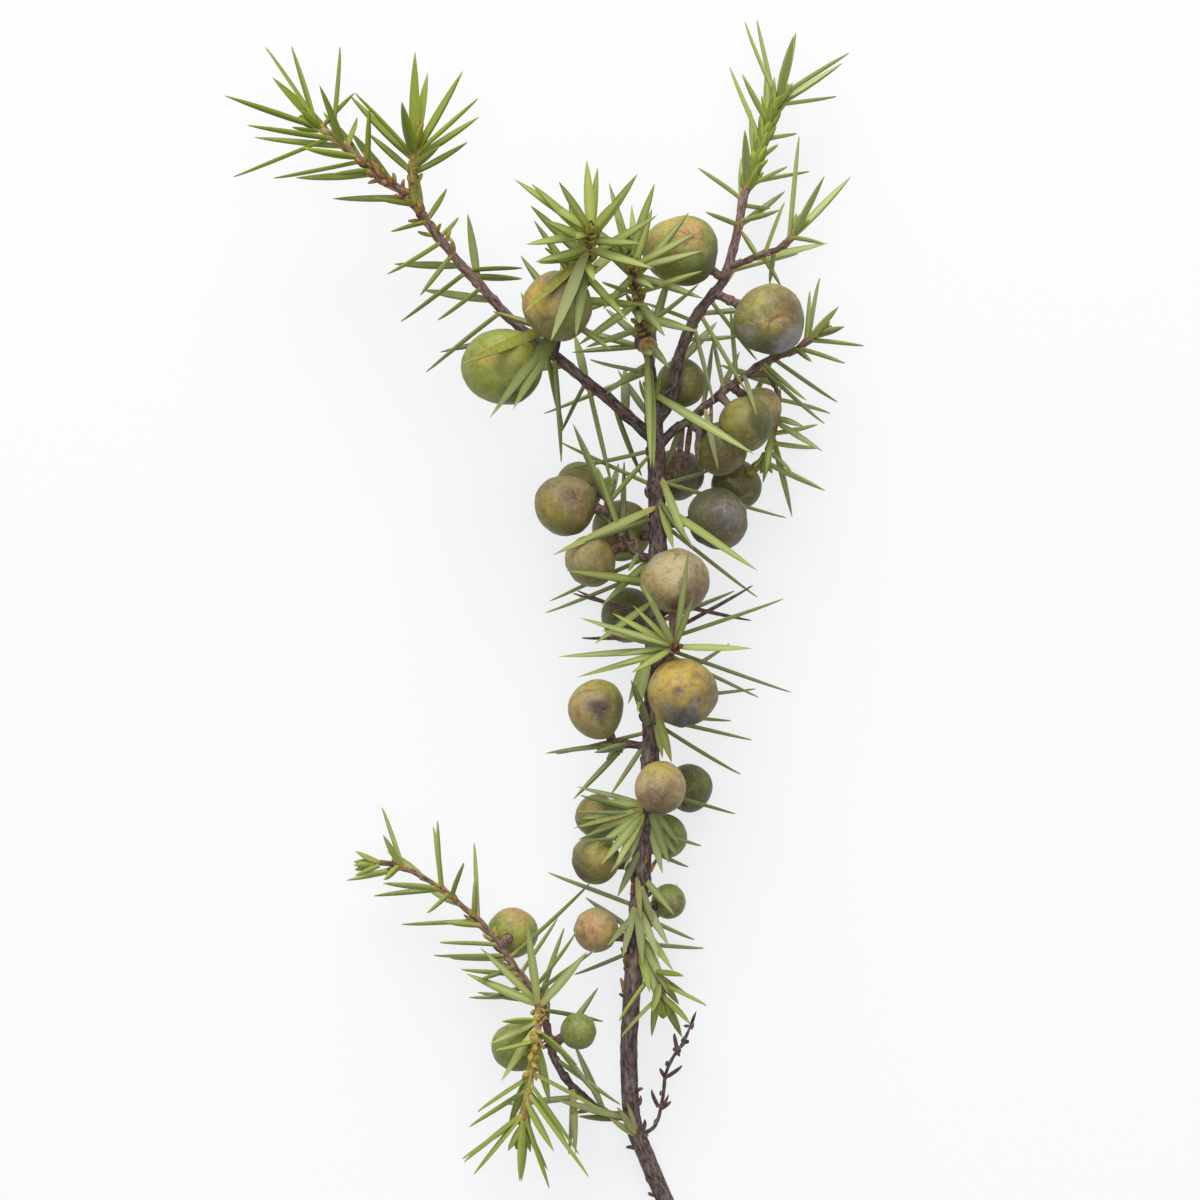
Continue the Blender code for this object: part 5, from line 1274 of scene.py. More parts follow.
# Broad leaves in front, drawn one by one: foot, point, breadth as a needle's share and age, then how dry
# and how pale one is if it differs from its twig's others
Front = namedtuple("Front", "foot point breadth age dry chalk", defaults=(0.0, None))
FRONT_LEAVES = {
    "main_stem": [
        ((4.4, -22.6, 9.4), (-1.0, -22.2, 10.4), 0.8, 0.5),
        ((4.4, -22.9, 9.5), (-2.0, -24.1, 10.0), 0.9, 0.3),
        ((4.5, -23.2, 9.5), (-1.8, -26.2, 11.0), 0.9, 0.4),
        ((4.5, -23.6, 9.5), (0.2, -28.9, 13.6), 0.9, 0.3),
        ((4.6, -23.8, 9.6), (1.5, -29.6, 13.2), 0.8, 0.5, 0.1),
        ((4.6, -24.4, 9.4), (2.6, -29.9, 11.8), 0.7, 0.7),
        ((4.4, -23.0, 9.6), (-3.0, -25.2, 12.2), 0.6, 0.6, 0.1),
        ((4.4, -22.4, 9.2), (-2.6, -20.6, 9.8), 0.5, 0.8),
        ((4.2, -23.4, 9.7), (-0.9, -27.6, 13.0), 0.7, 0.4),
        ((6.5, -12.6, 9.6), (7.9, -17.9, 10.8), 0.9, 0.1),
        ((6.2, -13.2, 9.4), (6.9, -17.4, 10.4), 0.7, 0.3),
        ((5.6, -23.2, 9.0), (7.6, -29.0, 9.4), 1.0, 0.6),
        ((5.4, -24.0, 8.8), (8.5, -28.2, 8.4), 0.8, 0.7),
        ((5.5, -24.6, 8.8), (6.9, -30.2, 9.2), 0.8, 0.5),
        ((5.6, -22.8, 8.8), (8.8, -27.0, 9.0), 0.7, 0.7),
        ((4.9, -37.4, 7.8), (7.5, -43.4, 9.4), 0.9, 0.4),
        ((4.9, -38.4, 7.8), (6.5, -44.6, 9.0), 0.9, 0.3),
        ((4.8, -36.2, 7.6), (8.1, -41.0, 8.4), 0.7, 0.3),
        ((4.8, -39.6, 7.6), (7.6, -44.8, 8.2), 0.7, 0.3),
        ((4.8, -33.2, 8.2), (7.6, -38.2, 9.2), 0.8, 0.6),
        ((4.6, -30.4, 8.2), (8.2, -34.8, 8.6), 0.7, 0.6),
        ((3.6, -33.8, 8.7), (2.5, -39.4, 9.4), 0.8, 0.95, 0.03, 0.2),
        ((4.2, -34.0, 8.9), (4.7, -40.2, 9.6), 0.85, 0.9, 0.0, 0.25),
        ((4.7, -34.4, 8.6), (6.5, -39.6, 9.2), 0.8, 0.8, 0.0, 0.4),
        ((3.4, -34.8, 8.3), (0.9, -38.0, 10.4), 0.65, 1.0, 0.0, 0.15),
        ((4.2, -27.8, 8.9), (1.9, -32.8, 9.8), 0.75, 0.9, 0.05, 0.4),
        ((4.0, -30.6, 8.8), (4.5, -35.2, 9.4), 0.6, 1.0, 0.12, 0.2),
        ((4.6, -31.6, 8.7), (6.1, -36.4, 9.0), 0.6, 1.0, 0.04, 0.2),
        ((5.0, -38.6, 8.2), (5.5, -43.4, 9.6), 0.85, 0.1, 0.0, 0.3),
        ((6.0, 10.2, 10.0), (-5.2, 4.9, 15.2), 0.85, 0.3),
        ((7.0, 10.4, 10.2), (17.2, 3.2, 18.8), 0.8, 0.3),
        ((5.4, 2.0, 9.8), (-3.8, 3.2, 17.4), 0.75, 0.3),
        ((6.9, 13.4, 9.8), (9.7, 5.8, 13.6), 0.85, 0.5),
        ((6.8, 10.6, 10.0), (8.1, 5.6, 11.8), 0.8, 0.4),
        ((5.6, 4.6, 9.4), (0.2, -0.6, 12.4), 0.7, 0.5),
        ((5.5, -0.4, 9.4), (-0.6, -4.8, 12.0), 0.7, 0.4),
        ((5.2, -5.6, 9.8), (4.1, -12.3, 12.0), 1.0, 0.5),
        ((4.9, -6.2, 9.4), (3.1, -11.4, 10.6), 0.7, 0.6),
    ],
    "leader_shoot": [
        ((5.5, 25.4, 11.4), (5.9, 14.4, 13.8), 0.85, 0.2),
        ((6.3, 22.6, 11.0), (16.9, 15.8, 20.0), 0.9, 0.4),
        ((4.6, 31.0, 15.0), (10.6, 29.4, 18.6), 0.9, 0.2),
        ((4.2, 32.6, 16.0), (-2.4, 27.8, 18.2), 0.8, 0.3),
    ],
    "left_front_shoot": [
        ((-1.9, 36.9, 26.0), (-5.3, 27.8, 30.5), 1.15, 0.8),
        ((-2.3, 36.4, 25.6), (-8.2, 31.0, 29.6), 0.9, 0.3, 0.12),
        ((-1.6, 36.2, 25.0), (-2.6, 28.4, 29.0), 1.0, 0.7),
        ((-5.0, 30.0, 18.5), (-9.4, 20.7, 26.0), 1.2, 0.7),
        ((-5.2, 29.6, 18.0), (-14.8, 25.6, 27.5), 1.1, 0.3, 0.1),
        ((-5.1, 29.4, 18.0), (-11.8, 19.9, 28.6), 1.0, 0.8),
    ],
    "right_low_branch": [
        ((15.6, 25.0, 12.5), (17.0, 20.4, 21.5), 0.5, 0.8),
        # Old and dry needles among the berries here. They are partly painted shade: they are dark where
        # the gaps between the berries lie in shadow.
        ((8.9, 19.0, 9.0), (7.3, 14.6, 7.5), 0.6, 1.0),
        ((10.0, 19.6, 9.0), (9.4, 14.2, 7.0), 0.6, 0.9, 1.0),
        ((11.0, 20.4, 9.2), (10.8, 15.0, 10.4), 0.6, 1.0, 1.0),
        ((11.6, 20.8, 10.2), (13.0, 14.2, 13.2), 0.6, 1.0),
        ((9.4, 19.4, 8.6), (8.3, 12.6, 7.2), 0.6, 1.0, 1.0),
        ((12.4, 21.4, 9.6), (12.0, 16.2, 11.6), 0.45, 1.0, 0.9),
    ],
    "right_hanging_shoot": [
        ((19.1, 18.7, 5.7), (18.2, 13.6, 11.4), 0.7, 0.2),
        ((19.4, 19.8, 5.8), (24.6, 16.4, 8.5), 0.6, 0.5),
        ((19.5, 20.2, 5.8), (22.2, 19.3, 12.2), 0.6, 0.1),
    ],
    "front_spur": [
        ((7.7, -4.5, 17.2), (4.6, 1.8, 20.4), 0.6, 0.3),
        ((8.4, -4.3, 17.4), (9.7, 5.6, 21.0), 0.6, 0.3),
        ((7.6, -4.8, 16.6), (1.4, -1.4, 17.6), 0.65, 0.1),
        ((7.6, -5.0, 16.4), (0.2, -3.4, 16.4), 0.7, 0.0),
        ((7.7, -5.4, 16.8), (3.4, -8.0, 18.0), 0.65, 0.2),
        ((7.6, -4.6, 16.8), (3.6, -0.6, 18.4), 0.5, 0.2),
        ((7.5, -4.8, 16.0), (2.0, -3.6, 15.4), 0.6, 0.2),
        ((7.4, -4.9, 16.2), (1.8, -6.0, 16.8), 0.5, 0.5),
    ],
    "low_twig": [
        ((-6.8, -43.8, 11.6), (-8.0, -35.4, 15.0), 0.85, 0.2),
        ((-6.2, -44.0, 11.4), (-1.4, -38.6, 14.0), 0.9, 0.4),
        ((-7.0, -43.8, 11.2), (-14.6, -41.0, 13.5), 0.9, 0.2),
        ((-7.0, -43.4, 10.8), (-13.2, -38.2, 12.5), 0.7, 0.5),
        ((2.8, -57.6, 5.2), (-4.6, -55.2, 8.6), 0.8, 0.9, 0.0, 0.3),
        ((2.2, -58.2, 4.8), (-2.6, -57.2, 6.4), 0.6, 1.0, 0.0, 0.1),
        ((-3.4, -54.8, 8.4), (-2.7, -61.3, 6.8), 0.75, 0.6, 0.09, 0.6),
        ((-0.6, -57.0, 6.4), (-3.0, -56.7, 7.2), 0.4, 0.5, 0.5),
        ((3.9, -59.3, 4.7), (2.0, -56.2, 6.0), 0.7, 1.0, 0.06, 0.1),
        ((3.6, -59.7, 4.6), (1.2, -57.4, 5.8), 0.6, 1.0, 0.1, 0.2),
        ((4.2, -58.9, 4.8), (3.0, -55.6, 6.0), 0.5, 1.0, 0.06, 0.4),
    ],
    "low_front_shoot": [
        ((-7.2, -46.5, 15.0), (-10.8, -52.6, 17.2), 0.8, 0.2),
        ((-7.2, -46.0, 14.4), (-12.0, -48.6, 16.2), 0.7, 0.3),
    ],
}

# A foot that is drawn farther than this from all bark, in mm, is set into the nearest, at a share of the
# bark's radius and to a tenth of a mm
FOOT_SLACK = 0.1
FRONT_FOOT_SHARE = 0.9

# The twigs whose front leaves stay at the feet that are drawn, near bark or not
DRAWN_FEET = ("right_hanging_shoot",)

# How much thinner than a needle those leaves are, what their upper faces turn to, and how pale they are
FRONT_THINNESS = 0.75
FRONT_UPPER = Vector((0, 0.3, 1))
USUAL_FRONT_CHALK = 0.75
FRONT_CHALK = {
    "left_front_shoot": 0.15, "front_spur": 0.55, "main_stem": 0.5, "right_low_branch": 0.15,
}

# Short scales that clothe a stretch of twig: reach (from, to) in shares of its length, gap and length
# in mm, lean in degrees, width as a share of a needle's, age, how dry they are and the share that is left
Scales = namedtuple("Scales", "twig reach gap length lean width age dry keep", defaults=(1.0,))
SCALES = [
    Scales("right_branch", (0.72, 0.97), 0.8, 2.5, 20, 0.8, 0.1, 0.0),
    Scales("left_branch", (0.69, 0.87), 0.8, 1.4, 32, 0.55, 0.3, 0.52, 0.85),
    Scales("left_branch", (0.6, 0.87), 1.4, 1.5, 46, 0.45, 0.3, 0.16, 0.5),
    Scales("low_front_shoot", (0.1, 0.62), 0.9, 1.2, 28, 0.55, 0.2, 0.24, 0.7),
    Scales("left_side_shoot", (0.16, 0.5), 1.3, 1.2, 24, 0.6, 0.1, 0.25, 0.8),
    Scales("leader_shoot", (0.3, 0.95), 1.3, 1.5, 38, 0.6, 0.4, 0.25),
    Scales("left_front_shoot", (0.3, 0.95), 1.3, 1.6, 38, 0.6, 0.3, 0.15),
    Scales("low_twig", (0.5, 0.95), 2.8, 1.2, 34, 0.4, 0.4, 0.2, 0.5),
    Scales("main_stem", (0.05, 0.98), 1.5, 1.0, 50, 0.4, 0.9, 1.0, 0.3),
    Scales("main_stem", (0.32, 0.49), 0.9, 1.7, 14, 0.36, 0.9, 0.5, 0.65),
    Scales("bare_twiglet", (0.05, 1.0), 1.8, 0.6, 46, 0.28, 1.0, 1.0, 0.6),
    Scales("bare_twiglet", (0.3, 0.95), 3.6, 2.3, 44, 0.2, 1.0, 1.0, 0.5),
]

# No scale is paler than this. Then how much scales vary: turn and lean in degrees to either side, and
# length and gap as shares
SCALE_CHALK = 0.2
SCALE_TURN_SCATTER = 25
SCALE_LEAN_SCATTER = 8
SCALE_LENGTH_SCATTER = (0.65, 1.15)
SCALE_GAP_SCATTER = (0.8, 1.2)

# The young leaves round each growing tip: how far back they start, their length and their lean. Then
# where their feet are, as a share of the tip's radius, their breadth, and how much younger they are
BUD_LEAVES = ((0.9, 3.6, 26), (0.3, 2.8, 15), (-0.2, 1.9, 7))
BUD_FOOT = 0.5
BUD_BREADTH = 0.8
BUD_YOUTH = 0.1

# How much the leaves' ages and the needles' breadths vary
AGE_SCATTER = 0.18
BREADTH_SCATTER = (0.85, 1.1)

# How far out the feet of scales and cushions sit, as a share of the bark's radius
FOOT_SHARE = 0.85

# The colours of berry skin as they are seen, each part from 0 to 255
PAINTS = {
    "olive": (116, 114, 56), "green": (122, 134, 62), "deep": (76, 78, 44), "gold": (188, 160, 70),
    "tan": (178, 156, 116), "orange": (176, 132, 78), "brown": (104, 80, 62), "moss": (128, 122, 40),
    "purple": (76, 64, 66), "khaki": (136, 126, 74), "grey": (98, 95, 76), "slate": (74, 74, 74),
    "core": (68, 48, 52), "leaf": (128, 140, 52), "lime": (160, 166, 72), "straw": (158, 146, 88),
    "sand": (184, 166, 132),
}

# What shows on a berry: its ground colour, patches of (colour, direction from its middle, half width in
# degrees, strength), which model it is, which way its tip points if that shows, how it is drawn out, and
# how mottled it is. The patches marked below as painted shade lie on the lower side, towards -y, away
# from the window light.
Look = namedtuple("Look", "ground patches model tip stretch mottling",
                  defaults=(0, None, (1, 1, 1), 1.0))
ROUND, RIDGED, PEAR = 0, 1, 2
# Paints that are hardly mottled, and by how much less
CALM_PAINTS = ("slate", "core", "deep", "purple")
CALMED = 0.85
# Painted shade: a darker lower side, away from the window light, that many berries share
PAINTED_LOWER_SHADE = ("deep", (0.15, -1.0, 0.1), 50, 0.4)
BERRY_LOOKS = {
    # Painted shade: the deep patch on the lower right.
    "right_branch_1": Look("green", [
        ("gold", (-0.2, 0.7, 0.7), 45, 0.7), ("orange", (0.3, 0.5, 0.8), 26, 0.8),
        ("moss", (-0.7, -0.1, 0.7), 34, 0.7), ("deep", (0.65, -0.65, 0.3), 52, 0.8)],
        RIDGED, (0.3, 0.35, 0.85), (1.05, 0.97, 1)),
    # Painted shade: the slate patch on the lower side. The bloom on the lower left and right is partly
    # real bloom, partly painted shade.
    "right_branch_2": Look("olive", [
        ("straw", (-0.3, 0.8, 0.5), 44, 0.8), ("lime", (-0.4, 0.5, 0.8), 16, 0.4),
        ("brown", (0.5, 0.25, 0.85), 36, 0.8),
        ("orange", (0.2, 0.1, 1.0), 14, 0.4), ("gold", (0.0, -0.2, 1.0), 14, 0.45),
        ("slate", (0.1, -0.9, 0.3), 44, 0.8), ("bloom", (-0.65, -0.45, 0.6), 34, 0.6),
        ("bloom", (0.6, -0.6, 0.5), 38, 0.8)], RIDGED, (0.0, -0.05, 1.0)),
    # Painted shade: the deep patch on the lower left.
    "right_branch_3": Look("olive", [
        ("khaki", (0.6, 0.2, 0.8), 34, 0.6), ("deep", (-0.4, -0.5, 0.6), 44, 0.7),
        ("bloom", (0.2, 0.5, 0.8), 45, 0.4)]),
    # Painted shade: the deep patch on the lower side.
    "left_branch_1": Look("leaf", [
        ("lime", (-0.1, 0.45, 0.9), 34, 0.5), ("gold", (-0.45, 0.15, 0.85), 16, 0.6),
        ("lime", (-0.3, -0.5, 0.75), 22, 0.4), ("olive", (0.1, 0.0, 1.0), 16, 0.5),
        ("moss", (0.7, 0.1, 0.6), 34, 0.7), ("deep", (0.5, -0.85, 0.25), 36, 0.8)],
        RIDGED, (0.2, -0.75, 0.6), (1.02, 0.98, 1), 0.55),
    "left_front_shoot_1": Look("khaki", [
        ("gold", (-0.6, 0.3, 0.75), 36, 1.0), ("orange", (-0.75, 0.1, 0.6), 16, 0.5),
        ("brown", (0.0, 0.5, 0.85), 26, 0.7), ("green", (0.6, -0.3, 0.7), 40, 0.7),
        PAINTED_LOWER_SHADE]),
    # Painted shade: the deep patch on the lower side.
    "left_spur_1": Look("khaki", [
        ("tan", (0.1, 0.6, 0.8), 46, 0.8), ("brown", (0.3, 0.15, 0.95), 26, 0.8),
        ("moss", (-0.5, -0.45, 0.7), 38, 0.8), ("deep", (0.0, -0.95, 0.3), 40, 0.7),
        ("gold", (-0.6, 0.1, 0.8), 18, 0.5),
        ("brown", (0.9, -0.1, 0.4), 30, 0.6)], RIDGED, (0.3, 0.3, 0.9)),
    "left_spur_2": Look("khaki", [PAINTED_LOWER_SHADE]),
    "left_spur_3": Look("khaki", [("tan", (-0.6, 0.3, 0.7), 40, 0.5), PAINTED_LOWER_SHADE]),
    "right_low_branch_1": Look("khaki", [("tan", (0.6, 0.4, 0.6), 40, 0.5), PAINTED_LOWER_SHADE]),
    "right_low_branch_2": Look("olive", [
        ("moss", (-0.4, 0.2, 0.85), 40, 0.8), ("deep", (0.6, 0.0, 0.6), 46, 0.85), PAINTED_LOWER_SHADE]),
    "right_low_branch_3": Look("olive", [("brown", (0.2, 0.0, 0.9), 42, 0.6), PAINTED_LOWER_SHADE]),
    "right_hanging_shoot_1": Look("deep", [("khaki", (0.5, 0.5, 0.7), 40, 0.5)]),
    # Painted shade: the deep patch on the lower left.
    "main_stem_1": Look("grey", [
        ("deep", (-0.2, 0.85, 0.45), 44, 0.6),
        ("bloom", (0.5, 0.3, 0.8), 44, 0.55), ("purple", (0.0, 0.0, 1.0), 40, 0.6),
        ("deep", (-0.5, -0.7, 0.5), 50, 0.7)], RIDGED),
    # Painted shade: the deep patch on the lower side.
    "main_stem_2": Look("grey", [
        ("brown", (-0.3, 0.4, 0.85), 46, 0.6), ("bloom", (0.1, 0.4, 0.9), 45, 0.3),
        ("deep", (-0.2, -0.85, 0.4), 45, 0.7)], RIDGED, (0.2, 0.7, 0.7)),
    "main_stem_3": Look("olive", [("khaki", (-0.3, 0.7, 0.7), 40, 0.5), PAINTED_LOWER_SHADE]),
    "front_spur_1": Look("straw", [
        ("sand", (0.1, 0.0, 1.0), 66, 0.85), ("moss", (-0.75, -0.4, 0.6), 34, 0.55),
        ("brown", (0.05, -0.6, 0.8), 24, 0.6), ("core", (0.1, -0.75, 0.65), 18, 0.9),
        ("brown", (0.8, -0.3, 0.5), 44, 0.85),
        ("bloom", (-0.6, 0.65, 0.4), 26, 0.7), ("bloom", (0.5, 0.8, 0.3), 26, 0.6),
        ("bloom", (0.1, 0.5, 0.9), 50, 0.3)],
        PEAR, (0.05, 0.85, 0.5), (1.03, 1, 1)),
    # Painted shade: the slate patch on the lower side. The bloom beside it is partly real bloom, partly
    # painted shade.
    "front_spur_2": Look("gold", [
        ("brown", (-0.15, 0.0, 1.0), 8, 1.0), ("brown", (0.5, 0.45, 0.7), 10, 0.7),
        ("brown", (0.95, 0.0, 0.35), 44, 0.85), ("khaki", (-0.9, 0.0, 0.4), 30, 0.6),
        ("brown", (0.1, -0.6, 0.8), 40, 0.4), ("slate", (0.05, -0.88, 0.47), 46, 1.0),
        ("bloom", (-0.45, -0.5, 0.75), 26, 0.5), ("bloom", (0.4, -0.5, 0.75), 30, 0.5)],
        ROUND, (0.1, -0.9, 0.3)),
    "low_left_spur_1": Look("straw", [
        ("lime", (0.0, 0.9, 0.4), 40, 0.6), ("gold", (-0.2, 0.75, 0.6), 24, 0.5),
        ("orange", (-0.6, -0.1, 0.75), 34, 0.5), ("tan", (-0.1, 0.1, 1.0), 36, 0.6),
        ("purple", (0.05, 0.05, 1.0), 40, 0.35), ("core", (0.1, 0.0, 1.0), 26, 1.0),
        ("brown", (-0.3, -0.7, 0.6), 30, 0.25),
        ("bloom", (-0.1, -0.5, 0.85), 18, 0.4), ("olive", (0.8, -0.3, 0.4), 40, 0.9)],
        RIDGED, (0.08, 0.0, 1.0), (0.97, 1.03, 1)),
    # Painted shade: the core patch along the lower edge.
    "main_stem_5": Look("tan", [
        ("gold", (0.0, 0.85, 0.5), 40, 0.8), ("lime", (-0.3, 0.7, 0.6), 26, 0.5),
        ("brown", (0.1, -0.6, 0.7), 60, 0.8),
        ("bloom", (0.1, -0.2, 1.0), 34, 0.5), ("core", (0.0, -1.0, 0.0), 40, 0.7)],
        ROUND, (0.1, -0.4, 0.9), (0.98, 1.03, 1)),
    "main_stem_4": Look("deep", [("olive", (-0.3, 0.7, 0.6), 36, 0.7)]),
    "main_stem_6": Look("deep", [("green", (0.6, 0.2, 0.7), 34, 0.5)]),
    "main_stem_7": Look("olive", [("gold", (-0.2, 0.6, 0.7), 34, 0.4), PAINTED_LOWER_SHADE]),
    # Painted shade: the purple patch on the lower left.
    "main_stem_8": Look("olive", [
        ("gold", (0.2, 0.2, 0.95), 30, 0.5), ("purple", (-0.75, -0.5, 0.4), 34, 0.8)]),
    "main_stem_9": Look("green", [PAINTED_LOWER_SHADE]),
    "main_stem_10": Look("tan", [
        ("orange", (-0.3, 0.1, 0.95), 50, 0.8), ("gold", (0.7, -0.3, 0.5), 36, 0.7), PAINTED_LOWER_SHADE]),
    "main_stem_11": Look("green", [("grey", (0.4, -0.3, 0.8), 40, 0.6), PAINTED_LOWER_SHADE]),
    # Painted shade: the purple patch on the lower side.
    "low_twig_1": Look("leaf", [
        ("orange", (0.2, 0.8, 0.6), 38, 0.8), ("lime", (0.0, 0.0, 1.0), 34, 0.7),
        ("purple", (-0.2, -0.9, 0.3), 34, 0.6)]),
    "low_front_shoot_1": Look("green", [PAINTED_LOWER_SHADE]),
    "low_twig_2": Look("green", [PAINTED_LOWER_SHADE]),
}

# How ragged a patch's edge is, in degrees, the sizes of its two noises with the second's share, and the
# half width from which it is as ragged as that. Then where it fades, in half widths
RAGGED = 15
COARSE, FINE, FINE_SHARE = 2.2, 5, 0.5
RAGGED_WIDTH = 30
PATCH_CORE, PATCH_EDGE = 0.35, 1.5


def painted_skin(look, directions, seed):
    """The colour, with its painted shade, the bloom and the mottling of a berry's skin in each direction
    from its middle.
    """
    ragged = np.array([
        noise.noise(Vector(direction) * COARSE + seed)
        + FINE_SHARE * noise.noise(Vector(direction) * FINE + seed)
        for direction in directions
    ]) * RAGGED
    skin = np.tile(np.array(paint(*PAINTS[look.ground])), (len(directions), 1))
    bloom = np.zeros(len(directions))
    mottled = np.full(len(directions), look.mottling)
    for colour, towards, width, strength in look.patches:
        facing_it = directions @ np.array(Vector(towards).normalized())
        away = np.degrees(np.arccos(np.clip(facing_it, -1, 1)))
        away += ragged * min(1, width / RAGGED_WIDTH)
        share = np.clip((PATCH_EDGE - away / width) / (PATCH_EDGE - PATCH_CORE), 0, 1)
        share = strength * share * share * (3 - 2 * share)
        if colour == "bloom":
            bloom = np.maximum(bloom, share)
        else:
            skin += (np.array(paint(*PAINTS[colour])) - skin) * share[:, None]
        if colour in CALM_PAINTS:
            mottled = np.minimum(mottled, 1 - share * CALMED)
    return skin, bloom, mottled


def foot_on_bark(place):
    """Where a leaf that is drawn from a place grows: just there, or in the bark that is nearest."""
    found = []
    for twig in TWIGS:
        station = AXES[twig.name].nearest(place)
        centre, radius = AXES[twig.name].at(station)[0], bark_radius(twig, station)
        found.append(((place - centre).length - radius, centre, radius))
    gap, centre, radius = min(found, key=lambda one: one[0])
    if gap <= FOOT_SLACK:
        return place
    foot = centre + (place - centre).normalized() * radius * FRONT_FOOT_SHARE
    return Vector([round(part, 1) for part in foot])


def twig_leaves(twig, needles, blades, draw):
    """A twig's needles, its short scales and the bud leaves at its tip, one copy for each."""
    axis, tones = AXES[twig.name], TONES[twig.name]
    parts = []

    def add(place, direction, upper, width, length, age, dry=0.0, chalk=tones.chalk, depth=1.0):
        parts.append(place_copy(
            draw.choice(blades), laid(place, direction, upper, (width, length / BLADE_LENGTH, depth)),
            age=min(max(age + draw.uniform(-AGE_SCATTER, AGE_SCATTER), 0.0), 1.0),
            tint=draw.random(), chalk=chalk, dry=dry,
        ))

    for needle in needles:
        point = needle.root + needle.direction * needle.length
        dry = any(math.hypot(point.x - x, point.y - y) < WITHERED_REACH for x, y in WITHERED)
        dry = dry or (twig.name == "main_stem" and draw.random() < DRY_SHARE)
        age = blend(tones.age, axis.nearest(needle.root) / axis.length)
        breadth = tones.breadth * draw.uniform(*BREADTH_SCATTER)
        add(needle.root, needle.direction, needle.heading, breadth, needle.length, age, float(dry))
    for leaf in (Front(*values) for values in FRONT_LEAVES.get(twig.name, [])):
        foot = Vector(leaf.foot)
        if twig.name not in DRAWN_FEET:
            foot = foot_on_bark(foot)
        reach = Vector(leaf.point) - foot
        chalk = FRONT_CHALK.get(twig.name, USUAL_FRONT_CHALK) if leaf.chalk is None else leaf.chalk
        add(foot, reach.normalized(), FRONT_UPPER, leaf.breadth, reach.length,
            leaf.age, leaf.dry, chalk, FRONT_THINNESS)
    for scales in (scales for scales in SCALES if scales.twig == twig.name):
        station, whorl = scales.reach[0] * axis.length, 0
        while station < scales.reach[1] * axis.length:
            centre, heading, side = axis.at(station)
            for leaf in range(WHORL):
                turn = WHORL_TURN * whorl + NEEDLE_TURN * leaf
                turn += draw.uniform(-SCALE_TURN_SCATTER, SCALE_TURN_SCATTER)
                lean = scales.lean + draw.uniform(-SCALE_LEAN_SCATTER, SCALE_LEAN_SCATTER)
                length = scales.length * draw.uniform(*SCALE_LENGTH_SCATTER)
                if draw.random() < scales.keep:
                    outward = around(side, heading, turn)
                    foot = centre + outward * bark_radius(twig, station) * FOOT_SHARE
                    add(foot, leaning(heading, outward, lean), heading, scales.width, length,
                        scales.age, scales.dry, min(tones.chalk, SCALE_CHALK))
            station += scales.gap * draw.uniform(*SCALE_GAP_SCATTER)
            whorl += 1
    if twig.leaves:
        tip, heading, side = axis.at(axis.length)
        for whorl, (back, length, lean) in enumerate(BUD_LEAVES):
            for leaf in range(WHORL):
                outward = around(side, heading, WHORL_TURN * whorl + NEEDLE_TURN * leaf)
                foot = tip - heading * back + outward * twig.tip_radius * BUD_FOOT
                add(foot, leaning(heading, outward, lean), heading, BUD_BREADTH * tones.bud,
                    length * tones.bud, tones.age[1] - BUD_YOUTH, tones.bud_dry)
    return parts


# How much shorter the bark's pattern is made along the twig, which draws it out into strands
GRAIN_STRETCH = 0.3


def straightened(twig, places):
    """How far along a twig each place is, in mm, and its place in bark rolled out straight."""
    axis = AXES[twig.name]
    line = np.array([row_place(point) for point in axis.points])
    sides = np.array(axis.sides)
    headings = np.gradient(line, axis=0)
    headings /= np.linalg.norm(headings, axis=1)[:, None]
    nearest = np.array([int(np.argmin(((line - place) ** 2).sum(1))) for place in places])
    reach = places - line[nearest]
    along = np.array(axis.stations)[nearest] * MM + (reach * headings[nearest]).sum(1)
    others = np.cross(headings, sides)
    grain = np.stack([
        (reach * sides[nearest]).sum(1), (reach * others[nearest]).sum(1), along * GRAIN_STRETCH,
    ], axis=1)
    return along / MM, grain


def mark_cut(twig, wood):
    """Marks the pale wood inside the rim of the stem's cut end."""
    start, heading, _ = AXES[twig.name].at(0)
    reach = points_of(wood.data) - np.array(row_place(start))
    on_end = abs(reach @ np.array(heading)) < CUT_DEPTH * MM
    within = np.linalg.norm(reach, axis=1) < (bark_radius(twig, 0) - CUT_EDGE) * MM
    set_tone(wood.data, "cut", on_end & within)


def mark_stump(stump):
    """Marks the stump's brown side, its pale rim and its dry middle."""
    heading = np.array(STUMP_HEADING)
    reach = points_of(stump.data) / MM - np.array(row_place(stump_root())) / MM
    height = reach @ heading
    away = np.linalg.norm(reach - height[:, None] * heading, axis=1)
    inner = (height > STUMP_DRY_HEIGHT) & (away < STUMP_DRY_RADIUS)
    side = np.clip(height - STUMP_SIDE_HEIGHT, 0, 1)
    set_tone(stump.data, "foot", np.where(inner, STUMP_DRY_TONE, side))
    set_tone(stump.data, "cut", np.where((height > STUMP_RIM_HEIGHT) & ~inner, STUMP_RIM_TONE, 0.0))


# Old leaf scars beside the whorls: their sizes, as shares of a cushion, and how brown they are
OLD_SCAR_SIZES = (0.6, 1.0)
OLD_SCAR_FOOT = 0.5
# The scales on a berry's stalk, in two rings: how many, how far the first ring is from the berry and from
# the second, how far out they sit, their sizes and how brown they are
STALK_SCALES = 6
STALK_SCALE_BACK = 0.1
STALK_SCALE_GAP = 0.9
STALK_SCALE_FOOT = 0.8
STALK_SCALE_SIZE = (1.3, 1.0, 1.2)
STALK_SCALE_TONE = 0.7


